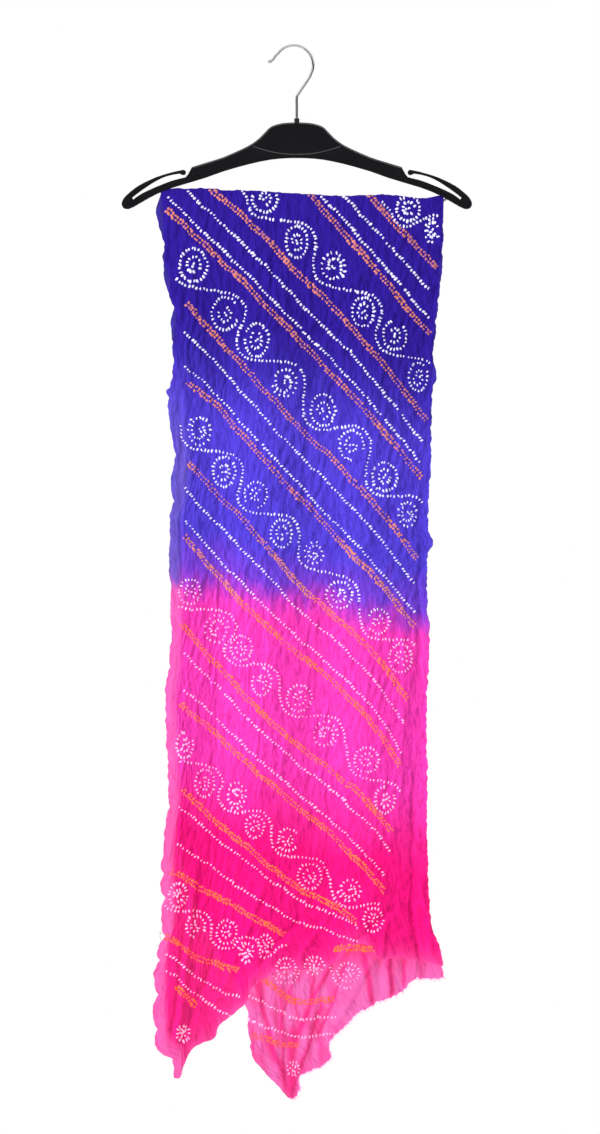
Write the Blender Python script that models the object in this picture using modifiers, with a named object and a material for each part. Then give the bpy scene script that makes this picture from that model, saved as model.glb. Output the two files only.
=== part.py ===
"""Bandhani dupatta stole, folded once over the bar of a black plastic hanger with a chromed wire hook.

Metres, +Z up, the front towards -Y. The origin is the inside of the hook's crown, where it hangs on a rail.
Tables are in millimetres. Their X is measured from the hanger's middle, which is HANGER_X right of the origin.
"""

from math import cos, exp, pi, radians, sin

import bmesh
import bpy
from mathutils import Vector

MM = 0.001
HANGER_X = 3.6  # the crown of the hook is this far left of the hanger's middle

# Hanger body
ARM_T = 6.0
EDGE_ROUND = 0.9
PANEL_DEPTH = 0.5
PANEL_RIM = 2.6
BOSS_TOP_R = 4.2
BOSS_LOW_R = 2.9
BOSS_TOP_Z = -91.5
BOSS_LOW_Z = -103.0
CLEAR = 0.3  # the gap between two pieces that meet

# Hook: wire, ball tip, and the head that turns inside the neck
WIRE_D = 3.0
CROWN_R = 23.3  # to the middle of the wire
CROWN_X = -3.6
CROWN_Z = -21.8
ARC_FROM = 144.0  # degrees, at the tip's side
ARC_TO = -26.0
ARC_STEPS = 21
TIP_D = 4.4
HEAD_D = 5.0
HEAD_TOP_Z = -97.8
HEAD_LOW_Z = -100.0
CHAMBER_D = 5.6
CHAMBER_TOP_Z = -97.5
CHAMBER_LOW_Z = -100.3
COLLAR_D = 6.2
COLLAR_TOP_Z = -86.3
COLLAR_LOW_Z = -90.7

# Fold bar: wire behind the arms, its ends turned forwards into sockets in their backs
BAR_D = 3.0
BAR_Y = 6.7
BAR_SLOPE = -0.0339
BAR_Z0 = -175.0  # its middle line at X = -134
BAR_X0 = -134.0
SOCKET_Y = 0.7  # how far forward a socket reaches
BAR_END_Y = 1.1

# Stole
CLOTH_T = 1.5
FRONT_COLUMNS = 26
FRONT_ROWS = 38
BACK_COLUMNS = 24
BACK_ROWS = 38
WRAP_STEPS = 6
WRAP_TAIL = 2.0  # how far the front piece runs down behind the bar
FALL_GAP = 5.2  # between the middles of the two falls, once clear of the bar

# Top edge of the hanger, from the neck to the corner by the slot
TOP_EDGE = (
    # x, z
    (0.0, -91.1),
    (10.0, -91.5),
    (19.4, -92.5),
    (30.4, -96.0),
    (36.2, -101.0),
    (44.3, -109.4),
    (53.3, -116.4),
    (64.2, -122.4),
    (87.8, -132.8),
    (106.0, -138.6),
    (125.8, -144.7),
)
# Mouth of the strap slot, then the lower side of the slot
SLOT_MOUTH = (
    # x, z
    (128.2, -149.2),
    (130.6, -153.6),
)
SLOT_LOW = (
    # x, z
    (133.4, -156.9),
    (141.5, -158.9),
    (150.7, -161.4),
    (169.1, -168.6),
    (186.2, -176.6),
    (196.2, -183.6),
)
SLOT_HIGH = (
    # x, z
    (197.6, -181.2),
    (188.5, -174.2),
    (178.2, -167.0),
    (169.0, -161.3),
    (159.8, -156.8),
    (150.0, -153.9),
    (140.5, -152.4),
)
KNOB = (
    # x, z: the round end of the strap finger
    (137.6, -154.0),
    (134.6, -153.9),
    (133.0, -151.6),
    (133.7, -149.0),
    (136.3, -148.0),
)
FINGER_TOP = (
    # x, z
    (146.0, -150.0),
    (156.7, -152.9),
    (169.4, -157.1),
    (185.0, -164.3),
    (194.0, -169.9),
    (201.2, -175.7),
    (207.0, -181.3),
    (210.0, -187.2),
    (209.6, -191.6),
    (206.4, -194.6),
    (201.8, -194.9),
)
LOWER_EDGE = (
    # x, z: from the arm's tip back to the middle
    (195.5, -192.2),
    (178.2, -182.2),
    (164.6, -175.3),
    (150.7, -169.9),
    (139.2, -166.3),
    (109.3, -157.3),
    (87.8, -149.6),
    (56.6, -140.8),
    (31.3, -135.6),
    (12.0, -133.9),
    (0.0, -133.7),
)
# Lower boundary of the recessed centre panel, from the left end to the right
PANEL_ARC = (
    # x, z
    (-52.5, -119.8),
    (-38.0, -124.6),
    (-20.0, -128.4),
    (0.0, -129.6),
    (20.0, -128.4),
    (38.0, -124.6),
    (52.5, -119.8),
)

# Hook wire: from its ball, before the arc, and from the arc to the head
HOOK_START = (
    # x, z
    (-32.2, -17.8),
    (-29.6, -16.4),
    (-27.5, -13.9),
    (-25.2, -10.6),
)
HOOK_END = (
    # x, z
    (15.0, -37.4),
    (7.6, -48.4),
    (1.2, -57.8),
    (0.0, -60.6),
    (0.0, -75.0),
    (0.0, -98.6),
)

# The stole's crest over the bar
CREST = (
    # x, z
    (-163.6, -169.6),
    (-150.0, -168.9),
    (-139.0, -168.6),
    (-134.2, -169.5),
    (-112.6, -168.5),
    (-88.0, -170.6),
    (-63.4, -171.4),
    (-20.0, -173.4),
    (15.8, -175.7),
    (59.0, -178.0),
    (82.0, -177.0),
    (104.6, -176.5),
    (122.6, -177.5),
    (145.4, -180.3),
    (161.0, -179.4),
    (168.0, -178.0),
    (176.4, -177.4),
)
# Selvedges of the front fall
FRONT_LEFT = (
    # x, z
    (-163.6, -175.0),
    (-161.3, -193.7),
    (-159.4, -239.0),
    (-156.5, -256.0),
    (-150.7, -296.0),
    (-144.5, -325.0),
    (-144.5, -345.0),
    (-148.6, -362.0),
    (-148.0, -400.0),
    (-148.6, -440.0),
    (-143.0, -502.0),
    (-143.8, -525.0),
    (-151.3, -564.0),
    (-152.0, -600.0),
    (-150.7, -677.0),
    (-149.8, -710.0),
    (-156.6, -779.0),
    (-155.5, -838.0),
    (-153.2, -893.0),
    (-155.5, -928.0),
    (-160.1, -963.0),
    (-161.3, -998.0),
    (-159.0, -1055.0),
    (-167.0, -1098.0),
    (-169.3, -1150.0),
    (-168.5, -1192.0),
    (-161.0, -1208.0),
    (-149.5, -1216.0),
    (-147.0, -1235.0),
)
FRONT_RIGHT = (
    # x, z
    (176.4, -186.0),
    (175.7, -214.0),
    (174.5, -268.0),
    (170.5, -298.0),
    (167.0, -339.0),
    (163.4, -366.0),
    (167.2, -394.0),
    (162.2, -424.0),
    (161.6, -478.0),
    (160.0, -520.0),
    (157.0, -573.0),
    (163.0, -596.0),
    (156.0, -615.0),
    (155.8, -653.0),
    (159.5, -715.0),
    (156.0, -792.0),
    (156.8, -871.0),
    (156.8, -952.0),
    (161.0, -1048.0),
    (171.6, -1080.0),
    (176.0, -1104.0),
)
FRONT_HEM = (
    # x, z
    (-144.0, -1236.0),
    (-140.5, -1236.0),
    (-135.0, -1221.0),
    (-128.2, -1208.0),
    (-121.0, -1200.5),
    (-99.0, -1190.5),
    (-94.0, -1176.5),
    (-77.8, -1163.3),
    (-61.0, -1147.7),
    (-55.0, -1132.0),
    (-38.2, -1117.7),
    (-27.4, -1110.5),
    (-4.6, -1108.1),
    (42.2, -1103.3),
    (53.0, -1090.1),
    (67.4, -1080.5),
    (84.0, -1078.0),
    (99.8, -1096.0),
    (122.6, -1094.0),
    (150.0, -1098.0),
    (176.0, -1104.0),
)
# The back fall: selvedges, then its hem from the middle tail to the right
BACK_LEFT = (
    # x, z
    (-163.6, -176.0),
    (-168.4, -195.2),
    (-163.0, -214.0),
    (-158.0, -260.0),
    (-149.0, -320.0),
    (-150.0, -380.0),
    (-153.6, -415.0),
    (-150.0, -440.0),
    (-148.0, -540.0),
    (-150.0, -680.0),
    (-152.0, -800.0),
    (-148.0, -900.0),
    (-134.0, -990.0),
    (-104.0, -1070.0),
    (-72.0, -1122.0),
    (-60.0, -1158.0),
    (-57.0, -1180.0),
    (-54.5, -1205.0),
    (-44.0, -1226.0),
    (-27.0, -1243.0),
    (-12.0, -1262.0),
)
BACK_RIGHT = (
    # x, z
    (176.0, -188.0),
    (172.0, -260.0),
    (165.0, -340.0),
    (162.0, -420.0),
    (158.0, -560.0),
    (156.0, -700.0),
    (154.0, -900.0),
    (158.0, -1040.0),
    (170.0, -1085.0),
    (177.0, -1118.0),
)
BACK_HEM = (
    # x, z
    (-12.0, -1262.0),
    (-5.5, -1266.5),
    (3.4, -1253.3),
    (2.6, -1240.0),
    (12.2, -1232.4),
    (32.6, -1223.3),
    (41.0, -1213.7),
    (38.8, -1204.0),
    (43.0, -1190.9),
    (66.2, -1168.1),
    (80.0, -1157.3),
    (101.9, -1145.3),
    (113.6, -1142.4),
    (128.6, -1132.1),
    (141.8, -1120.1),
    (160.0, -1119.5),
    (177.0, -1118.0),
)
# Soft folds that both falls share. Depth is how far each stands forward, at the top, halfway and at the hem
FOLDS = (
    # x_top, x_low, half_width, depth_top, depth_mid, depth_low
    (-136.0, -150.0, 24.0, 2.6, 5.0, 8.0),
    (-84.0, -98.0, 26.0, -1.8, -3.0, -3.0),
    (-30.0, -44.0, 30.0, 2.4, 4.4, 5.6),
    (34.0, 26.0, 26.0, -1.6, -3.4, -3.0),
    (92.0, 84.0, 26.0, 2.2, 3.6, 4.6),
    (156.0, 150.0, 20.0, -1.4, -3.0, -4.0),
)
# Pleats of the back fall alone, where it hangs free below the front hem. Depth is how far each stands back
BACK_PLEATS = (
    # x_high, x_low, half_width, depth
    (-60.0, -30.0, 14.0, 5.0),
    (10.0, 0.0, 12.0, 5.0),
    (60.0, 26.0, 12.0, 4.0),
    (104.0, 98.0, 8.0, 4.0),
    (132.0, 128.0, 8.0, 4.0),
    (160.0, 158.0, 9.0, 5.0),
)
FOLDS_START = 20.0  # how far below the bar the folds begin
FOLDS_FULL = 150.0
FALL_LENGTH = 1000.0
PLEATS_START_Z = -1060.0
PLEATS_FULL_Z = -1150.0


def clear_scene():
    for obj in list(bpy.data.objects):
        bpy.data.objects.remove(obj, do_unlink=True)


def material(name, colour, roughness, metallic=0.0):
    mat = bpy.data.materials.new(name)
    mat.use_nodes = True
    mat.diffuse_color = (*colour, 1.0)
    shader = mat.node_tree.nodes["Principled BSDF"]
    shader.inputs["Base Color"].default_value = (*colour, 1.0)
    shader.inputs["Roughness"].default_value = roughness
    shader.inputs["Metallic"].default_value = metallic
    return mat


def collection(name, hidden=False):
    made = bpy.data.collections.new(name)
    bpy.context.scene.collection.children.link(made)
    made.hide_render = hidden
    return made


def place(obj, into, parent=None):
    for old in list(obj.users_collection):
        old.objects.unlink(obj)
    into.objects.link(obj)
    obj.parent = parent


def smooth_line(rows, per_span):
    """Points of a Catmull-Rom line through the rows, with per_span steps between two rows."""
    pts = [Vector(row) for row in rows]
    ends = [2 * pts[0] - pts[1]] + pts + [2 * pts[-1] - pts[-2]]
    line = []
    for i in range(len(pts) - 1):
        a, b, c, d = ends[i : i + 4]
        for step in range(per_span):
            t = step / per_span
            line.append(
                0.5 * (2 * b + (c - a) * t + (2 * a - 5 * b + 4 * c - d) * t**2
                       + (3 * b - 3 * c + d - a) * t**3)
            )
    return line + [pts[-1]]


def half_outline():
    """The right half of the hanger's outline, from the top of the neck round to the middle of the lower edge."""
    line = smooth_line(TOP_EDGE, 2)
    line += smooth_line(SLOT_MOUTH, 1)
    line += smooth_line(SLOT_LOW, 2)
    line += smooth_line(SLOT_HIGH, 2)
    line += smooth_line(KNOB, 2)
    line += smooth_line(FINGER_TOP, 2)
    line += smooth_line(LOWER_EDGE, 2)
    return line


def flat_solid(name, outline, half_y, rounded=0.0):
    """A flat closed solid in the XZ plane, half_y to each side of Y = 0, made from a filled 2D curve."""
    curve = bpy.data.curves.new(name, "CURVE")
    curve.dimensions = "2D"
    curve.fill_mode = "BOTH"
    curve.extrude = (half_y - rounded) * MM
    curve.bevel_depth = rounded * MM
    curve.bevel_resolution = 1
    curve.offset = -rounded * MM
    spline = curve.splines.new("POLY")
    spline.points.add(len(outline) - 1)
    for point, (x, z) in zip(spline.points, outline):
        point.co = (x * MM, z * MM, 0.0, 1.0)
    spline.use_cyclic_u = True
    obj = bpy.data.objects.new(name, curve)
    obj.rotation_euler = (radians(90), 0.0, 0.0)
    return as_mesh(obj, name)


def as_mesh(obj, name):
    """Turns a curve object into a welded mesh object with its rotation applied."""
    bpy.context.scene.collection.objects.link(obj)
    bpy.context.view_layer.update()
    graph = bpy.context.evaluated_depsgraph_get()
    mesh = bpy.data.meshes.new_from_object(obj.evaluated_get(graph))
    mesh.transform(obj.matrix_world)
    bm = bmesh.new()
    bm.from_mesh(mesh)
    bmesh.ops.remove_doubles(bm, verts=bm.verts, dist=0.000005)
    bmesh.ops.recalc_face_normals(bm, faces=bm.faces)
    bm.to_mesh(mesh)
    bm.free()
    bpy.data.objects.remove(obj, do_unlink=True)
    mesh.materials.clear()
    made = bpy.data.objects.new(name, mesh)
    bpy.context.scene.collection.objects.link(made)
    return made


def wire(name, path, diameter):
    """A round wire along a path of (x, y, z) in millimetres, with flat ends."""
    curve = bpy.data.curves.new(name, "CURVE")
    curve.dimensions = "3D"
    curve.bevel_depth = diameter / 2 * MM
    curve.bevel_resolution = 2
    curve.use_fill_caps = True
    spline = curve.splines.new("POLY")
    spline.points.add(len(path) - 1)
    for point, co in zip(spline.points, path):
        point.co = (*(Vector(co) * MM), 1.0)
    return as_mesh(bpy.data.objects.new(name, curve), name)


def round_solid(name, low_r, top_r, low, top, sides=24):
    """A cylinder or cone from one point to another, in millimetres."""
    low, top = Vector(low), Vector(top)
    bm = bmesh.new()
    bmesh.ops.create_cone(
        bm, cap_ends=True, segments=sides,
        radius1=low_r * MM, radius2=top_r * MM, depth=(top - low).length * MM,
    )
    turn = Vector((0, 0, 1)).rotation_difference(top - low).to_matrix().to_4x4()
    bmesh.ops.transform(bm, matrix=turn, verts=bm.verts)
    bmesh.ops.translate(bm, vec=(low + top) / 2 * MM, verts=bm.verts)
    return mesh_object(name, bm)


def ball(name, centre, diameter):
    bm = bmesh.new()
    bmesh.ops.create_uvsphere(bm, u_segments=16, v_segments=10, radius=diameter / 2 * MM)
    bmesh.ops.translate(bm, vec=Vector(centre) * MM, verts=bm.verts)
    return mesh_object(name, bm)


def mesh_object(name, bm):
    mesh = bpy.data.meshes.new(name)
    bm.to_mesh(mesh)
    bm.free()
    made = bpy.data.objects.new(name, mesh)
    bpy.context.scene.collection.objects.link(made)
    return made


def boolean(target, other, operation):
    modifier = target.modifiers.new(other.name, "BOOLEAN")
    modifier.operation = operation
    modifier.solver = "EXACT"
    modifier.object = other


def cutter(obj, cutters, parent):
    place(obj, cutters, parent)
    obj.display_type = "WIRE"
    obj.hide_render = True
    return obj


def panel_outline():
    """The recessed panel: inside the rim along the hanger's top edge, and down to the panel's arc."""
    reach = PANEL_ARC[-1][0]
    edge = [p for p in smooth_line(TOP_EDGE, 2) if p.x < reach + 8]
    inner = []
    for before, here, after in zip(edge, edge[1:], edge[2:]):
        along = (after - before).normalized()
        inner.append(here + Vector((along.y, -along.x)) * PANEL_RIM)
    inner = [p for p in inner if 0.5 < p.x < reach - 1]
    left = [Vector((-p.x, p.y)) for p in reversed(inner)]
    return left + inner + list(reversed(smooth_line(PANEL_ARC, 2)))


def build_hanger(into, cutters, parent, mat):
    half = half_outline()
    outline = half[:-1] + [Vector((-p.x, p.y)) for p in reversed(half[1:])]
    body = flat_solid("hanger_body", outline, ARM_T / 2, EDGE_ROUND)
    body.data.materials.append(mat)
    place(body, into, parent)
    panel = panel_outline()
    for side, y in (("front", -ARM_T / 2), ("back", ARM_T / 2)):
        cut = cutter(flat_solid("cut_panel_" + side, panel, PANEL_DEPTH), cutters, parent)
        cut.location.y = y * MM
        boolean(body, cut, "DIFFERENCE")
    boss = cutter(
        round_solid("add_boss", BOSS_LOW_R, BOSS_TOP_R, (0, 0, BOSS_LOW_Z), (0, 0, BOSS_TOP_Z), 32),
        cutters, parent,
    )
    boolean(body, boss, "UNION")
    bore_r = WIRE_D / 2 + CLEAR
    bore = round_solid("cut_bore", bore_r, bore_r, (0, 0, CHAMBER_TOP_Z - 1), (0, 0, BOSS_TOP_Z + 4))
    boolean(body, cutter(bore, cutters, parent), "DIFFERENCE")
    chamber_r = CHAMBER_D / 2
    chamber = round_solid(
        "cut_chamber", chamber_r, chamber_r, (0, 0, CHAMBER_LOW_Z), (0, 0, CHAMBER_TOP_Z)
    )
    boolean(body, cutter(chamber, cutters, parent), "DIFFERENCE")
    socket_r = BAR_D / 2 + CLEAR
    for side, (x, _, z) in (("left", bar_path()[0]), ("right", bar_path()[-1])):
        hole = round_solid(
            "cut_socket_" + side, socket_r, socket_r, (x, SOCKET_Y, z), (x, ARM_T / 2 + 2, z)
        )
        boolean(body, cutter(hole, cutters, parent), "DIFFERENCE")


def hook_path():
    arc = []
    for step in range(ARC_STEPS + 1):
        turn = radians(ARC_FROM + (ARC_TO - ARC_FROM) * step / ARC_STEPS)
        arc.append((CROWN_X + CROWN_R * cos(turn), CROWN_Z + CROWN_R * sin(turn)))
    return [(x, 0.0, z) for x, z in (*HOOK_START, *arc, *HOOK_END)]


def build_hook(into, cutters, parent, chrome, black):
    hook = wire("hook", hook_path(), WIRE_D)
    hook.data.materials.append(chrome)
    place(hook, into, parent)
    tip_x, tip_z = HOOK_START[0]
    tip = cutter(ball("add_tip", (tip_x, 0, tip_z), TIP_D), cutters, parent)
    boolean(hook, tip, "UNION")
    head = round_solid("add_head", HEAD_D / 2, HEAD_D / 2, (0, 0, HEAD_LOW_Z), (0, 0, HEAD_TOP_Z))
    boolean(hook, cutter(head, cutters, parent), "UNION")
    collar = round_solid(
        "hook_collar", COLLAR_D / 2, COLLAR_D / 2, (0, 0, COLLAR_LOW_Z), (0, 0, COLLAR_TOP_Z), 32
    )
    collar.data.materials.append(black)
    place(collar, into, parent)
    bore_r = WIRE_D / 2 + CLEAR
    bore = round_solid(
        "cut_collar", bore_r, bore_r, (0, 0, COLLAR_LOW_Z - 2), (0, 0, COLLAR_TOP_Z + 2)
    )
    boolean(collar, cutter(bore, cutters, parent), "DIFFERENCE")


def bar_z(x):
    return BAR_Z0 + BAR_SLOPE * (x - BAR_X0)


def bar_path():
    left_end = (-168.0, -172.6)
    right_end = (184.0, -180.4)
    left_bend, right_bend = -160.0, 174.0
    return [
        (left_end[0], BAR_END_Y, left_end[1]),
        (left_end[0], BAR_Y, left_end[1]),
        (left_bend, BAR_Y, bar_z(left_bend)),
        (right_bend, BAR_Y, bar_z(right_bend)),
        (right_end[0], BAR_Y, right_end[1]),
        (right_end[0], BAR_END_Y, right_end[1]),
    ]


def smoothstep(low, high, value):
    t = min(max((value - low) / (high - low), 0.0), 1.0)
    return t * t * (3 - 2 * t)


def wrap_radius():
    """From the bar's middle to the middle of the cloth over it."""
    return BAR_D / 2 + CLEAR + CLOTH_T / 2


def folds_y(x, z):
    """How far the shared folds carry the cloth forward at a place."""
    drop = bar_z(x) - z
    share = min(drop / FALL_LENGTH, 1.0)
    grow = smoothstep(FOLDS_START, FOLDS_FULL, drop)
    forward = 0.0
    for x_top, x_low, half_width, depth_top, depth_mid, depth_low in FOLDS:
        middle = x_top + (x_low - x_top) * share
        if share < 0.5:
            depth = depth_top + (depth_mid - depth_top) * share * 2
        else:
            depth = depth_mid + (depth_low - depth_mid) * (share * 2 - 1)
        forward += depth * exp(-(((x - middle) / half_width) ** 2))
    return forward * grow


def front_y(x, z):
    return BAR_Y - wrap_radius() - folds_y(x, z)


def back_y(x, z):
    drop = bar_z(x) - z
    close = smoothstep(FOLDS_START, FOLDS_FULL, drop)
    gap = 2 * wrap_radius() + (FALL_GAP - 2 * wrap_radius()) * close
    free = smoothstep(PLEATS_START_Z, PLEATS_FULL_Z, z)
    own = 0.0
    for x_high, x_low, half_width, depth in BACK_PLEATS:
        middle = x_high + (x_low - x_high) * free
        own += depth * exp(-(((x - middle) / half_width) ** 2))
    return front_y(x, z) + gap + own * free


def along(rows, share):
    """The point at a share of the length of a line of rows."""
    pts = [Vector(row) for row in rows]
    lengths = [(b - a).length for a, b in zip(pts, pts[1:])]
    left = share * sum(lengths)
    for a, b, length in zip(pts, pts[1:], lengths):
        if left <= length:
            return a + (b - a) * (left / length)
        left -= length
    return pts[-1]


def at_x(rows, x):
    """The Z of a line of rows at an X."""
    for (x0, z0), (x1, z1) in zip(rows, rows[1:]):
        if x <= x1:
            return z0 + (z1 - z0) * (x - x0) / (x1 - x0)
    return rows[-1][1]


def sheet_place(left, right, top, hem, u, v):
    """A Coons patch between two selvedges, a top line and a hem, as X and Z."""
    side = left(v) * (1 - u) + right(v) * u
    ends = top(u) * (1 - v) + hem(u) * v
    corners = (left(0) * (1 - u) + right(0) * u) * (1 - v) + (hem(0) * (1 - u) + hem(1) * u) * v
    return side + ends - corners


def cloth_solid(name, rows, mat, into, parent):
    """A wall CLOTH_T thick over a grid of rows of points, in millimetres."""
    bm = bmesh.new()
    grid = [[bm.verts.new(p * MM) for p in row] for row in rows]
    for upper, lower in zip(grid, grid[1:]):
        for a, b, c, d in zip(upper, upper[1:], lower[1:], lower):
            bm.faces.new((a, d, c, b))
    obj = mesh_object(name, bm)
    wall = obj.modifiers.new("wall", "SOLIDIFY")
    wall.thickness = CLOTH_T * MM
    wall.offset = 0.0
    obj.data.materials.append(mat)
    place(obj, into, parent)


def build_front(mat, into, parent):
    left_x, right_x = CREST[0][0], CREST[-1][0]

    def top_line(u):
        x = left_x + (right_x - left_x) * u
        return Vector((x, bar_z(x)))

    def left_line(v):
        return along(((left_x, bar_z(left_x)), *FRONT_LEFT), v)

    def right_line(v):
        return along(((right_x, bar_z(right_x)), *FRONT_RIGHT), v)

    def hem_line(u):
        return along(FRONT_HEM, u)

    shares = [i / FRONT_COLUMNS for i in range(FRONT_COLUMNS + 1)]
    tops = [top_line(u) for u in shares]
    rows = [[Vector((p.x, BAR_Y + wrap_radius(), p.y - WRAP_TAIL)) for p in tops]]
    for step in range(WRAP_STEPS):
        turn = pi * (1 - step / WRAP_STEPS)
        row = []
        for p in tops:
            rise = at_x(CREST, p.x) - CLOTH_T / 2 - p.y
            row.append(Vector((p.x, BAR_Y - wrap_radius() * cos(turn), p.y + rise * sin(turn))))
        rows.append(row)
    for j in range(FRONT_ROWS + 1):
        row = []
        for u in shares:
            p = sheet_place(left_line, right_line, top_line, hem_line, u, j / FRONT_ROWS)
            row.append(Vector((p.x, front_y(p.x, p.y), p.y)))
        rows.append(row)
    cloth_solid("front_fall", rows, mat, into, parent)


def build_back(mat, into, parent):
    left_x, right_x = CREST[0][0], CREST[-1][0]
    below = WRAP_TAIL + CLEAR

    def top_line(u):
        x = left_x + (right_x - left_x) * u
        return Vector((x, bar_z(x) - below))

    def left_line(v):
        return along((top_line(0), *BACK_LEFT[1:]), v)

    def right_line(v):
        return along((top_line(1), *BACK_RIGHT[1:]), v)

    def hem_line(u):
        return along(BACK_HEM, u)

    rows = []
    for j in range(BACK_ROWS + 1):
        row = []
        for i in range(BACK_COLUMNS + 1):
            u = i / BACK_COLUMNS
            p = sheet_place(left_line, right_line, top_line, hem_line, u, j / BACK_ROWS)
            row.append(Vector((p.x, back_y(p.x, p.y), p.y)))
        rows.append(row)
    cloth_solid("back_fall", rows, mat, into, parent)


def main():
    clear_scene()
    pieces = collection("bandhani_dupatta_stole")
    cutters = collection("cutters", hidden=True)
    middle = bpy.data.objects.new("hanger_middle", None)
    middle.location.x = HANGER_X * MM
    pieces.objects.link(middle)
    violet = material("violet_cloth", (0.09, 0.045, 0.52), 0.85)
    pink = material("pink_cloth", (0.93, 0.06, 0.30), 0.85)
    black = material("black_plastic", (0.012, 0.012, 0.013), 0.45)
    sleeve = material("black_sleeve", (0.010, 0.010, 0.010), 0.5)
    chrome = material("chrome_wire", (0.62, 0.62, 0.63), 0.15, 1.0)
    steel = material("bar_wire", (0.55, 0.55, 0.56), 0.25, 1.0)
    build_hanger(pieces, cutters, middle, black)
    build_hook(pieces, cutters, middle, chrome, sleeve)
    bar = wire("fold_bar", bar_path(), BAR_D)
    bar.data.materials.append(steel)
    place(bar, pieces, middle)
    build_front(violet, pieces, middle)
    build_back(pink, pieces, middle)


main()
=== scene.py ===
"""Bandhani dupatta stole on a black plastic hanger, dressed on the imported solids.

The stole is a sheer crinkled georgette, dyed blue-violet above and hot pink below.
Its two falls are sheets, and the tied dots are raised on them.
"""

from math import cos, pi, radians, sin

import bmesh
import bpy
import numpy as np
from bpy.props import BoolProperty, FloatProperty, FloatVectorProperty, IntProperty
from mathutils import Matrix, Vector
from mathutils.bvhtree import BVHTree


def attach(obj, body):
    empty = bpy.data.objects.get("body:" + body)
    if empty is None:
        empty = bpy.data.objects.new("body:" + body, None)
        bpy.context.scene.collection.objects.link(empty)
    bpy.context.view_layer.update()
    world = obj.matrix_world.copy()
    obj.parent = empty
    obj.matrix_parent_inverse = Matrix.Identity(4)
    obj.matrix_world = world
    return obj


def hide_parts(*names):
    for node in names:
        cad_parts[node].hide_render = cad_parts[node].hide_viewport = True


bl_info = {
    "name": "Bandhani dupatta stole",
    "version": (1, 0, 0),
    "blender": (4, 5, 0),
    "location": "3D View > Sidebar > Stole",
    "description": "Builds a crinkled bandhani stole folded over a plastic hanger",
    "category": "Object",
}

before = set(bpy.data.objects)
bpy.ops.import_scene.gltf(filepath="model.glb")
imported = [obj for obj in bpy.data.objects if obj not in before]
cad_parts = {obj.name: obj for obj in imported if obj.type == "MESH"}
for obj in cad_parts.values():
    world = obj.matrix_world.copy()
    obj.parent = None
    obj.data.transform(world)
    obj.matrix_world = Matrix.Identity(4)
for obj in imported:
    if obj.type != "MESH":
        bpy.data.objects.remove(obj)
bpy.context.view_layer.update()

# Tables are in millimetres. Their X starts at the hanger's middle, HANGER_X right of the hook's crown.
MM = 0.001
HANGER_X = 3.6

# Hook
WIRE_D = 3.0
CROWN_R = 23.3
CROWN_X = -3.6
CROWN_Z = -21.8
ARC_FROM = 144.0
ARC_TO = -26.0
ARC_STEPS = 44
TIP_D = 4.4
HOOK_START = (
    # x, z
    (-32.2, -17.8), (-29.6, -16.4), (-27.5, -13.9), (-25.2, -10.6),
)
HOOK_END = (
    # x, z
    (15.0, -37.4), (7.6, -48.4), (1.2, -57.8), (0.0, -60.6), (0.0, -75.0), (0.0, -98.6),
)

# The bar inside the fold, and the cloth over it
BAR_Y = 6.7
BAR_SLOPE = -0.0339
BAR_Z0 = -175.0
BAR_X0 = -134.0
BAR_STEEL = (0.60, 0.60, 0.61)
WRAP_R = 2.55
WRAP_TAIL = 2.0
FALL_GAP = 5.2
FOLDS_START = 20.0
FOLDS_FULL = 150.0
FALL_LENGTH = 1000.0
PLEATS_START_Z = -1060.0
PLEATS_FULL_Z = -1150.0
STOLE_W = 330.0  # as it hangs, drawn in by the crinkle
WRAP_STEPS = 14
CREST_IN = 0.75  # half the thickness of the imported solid

# The cloth's fine wrinkle, and where and how far it is sheer
FRONT_FREE_Z = -1400.0  # the free end hangs below these as a single thin layer. The front has none
BACK_FREE_Z = -1100.0
FLAT_MAP = 1150.0  # millimetres of cloth across the whole of its flat map
CLOTH_MAP = "OFBake"
GLOW = 0.78  # share of the colour that is light coming through, where the cloth is a single layer
CREASE_SHARP = 0.68
WRINKLE_SLANT = -0.09
FINE_WRINKLES = (
    # millimetres across and along one wrinkle, detail, weight
    (6.0, 40.0, 2.0, 1.0),
    (3.2, 13.0, 2.0, 0.5),
    (0.6, 0.7, 1.0, 0.10),
)
FINE_BEND = 0.5
SHEER_WRINKLE = (10.0, 48.0, 1.0, 0.8)  # the same, then how far it bends
LINE_SHARP = 20.0
SHORT_LINE = 0.6
SHEER_LINE_SHARP = 22.0
SHEER_HIDES = 0.75  # share of the short creases that a sheer layer hides
BLACK = (0.0, 0.0, 0.0)

# Dye, in metres: where its ramp starts, how long it is, and how it drifts from level
DYE_TOP = -0.165
DYE_LENGTH = 1.1
DYE_SLANT = 0.17
DYE_STREAK = (150.0, 60.0, 26.0)
DYE_STREAKY = 0.030
DYE_CLOUD = 16.0
DYE_CLOUDY = 0.050
PINK_FROM = (-0.660, -0.680)

# Tied dots
WHITE_SPACING = 4.3
VINE_SPACING = 4.4
VINE_CLEAR = 6.0
CROSSES_END_Z = -590.0
CROSS_PITCH = 8.0
LOBE_AHEAD = 2.0
LOBE_ASIDE = 2.05
ROPE_PITCH = 3.7
ROPE_ASIDE = 2.0
# Length and width of each kind of dot, and how far each is turned from its row, in radians
ROW_DOT, ROW_TURN = (5.3, 3.4), 1.3
VINE_DOT, VINE_TURN = (5.0, 3.2), 1.5
TICK_DOT, TICK_TURN = (6.1, 3.6), 0.85
LOBE_DOT = (4.9, 3.7)
HEART_DOT = (4.4, 3.4)
RING_DOT = (5.2, 3.3)
SEED_DOT = (4.6, 3.6)
MISSED = 0.008
DOT_STRAY = 0.45
DOT_TURN = 0.32
DOT_RANGE = (0.78, 1.2)
TOP_PLAIT_X = 40.0  # the highest plait starts here, as the fold hides the rest
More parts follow.
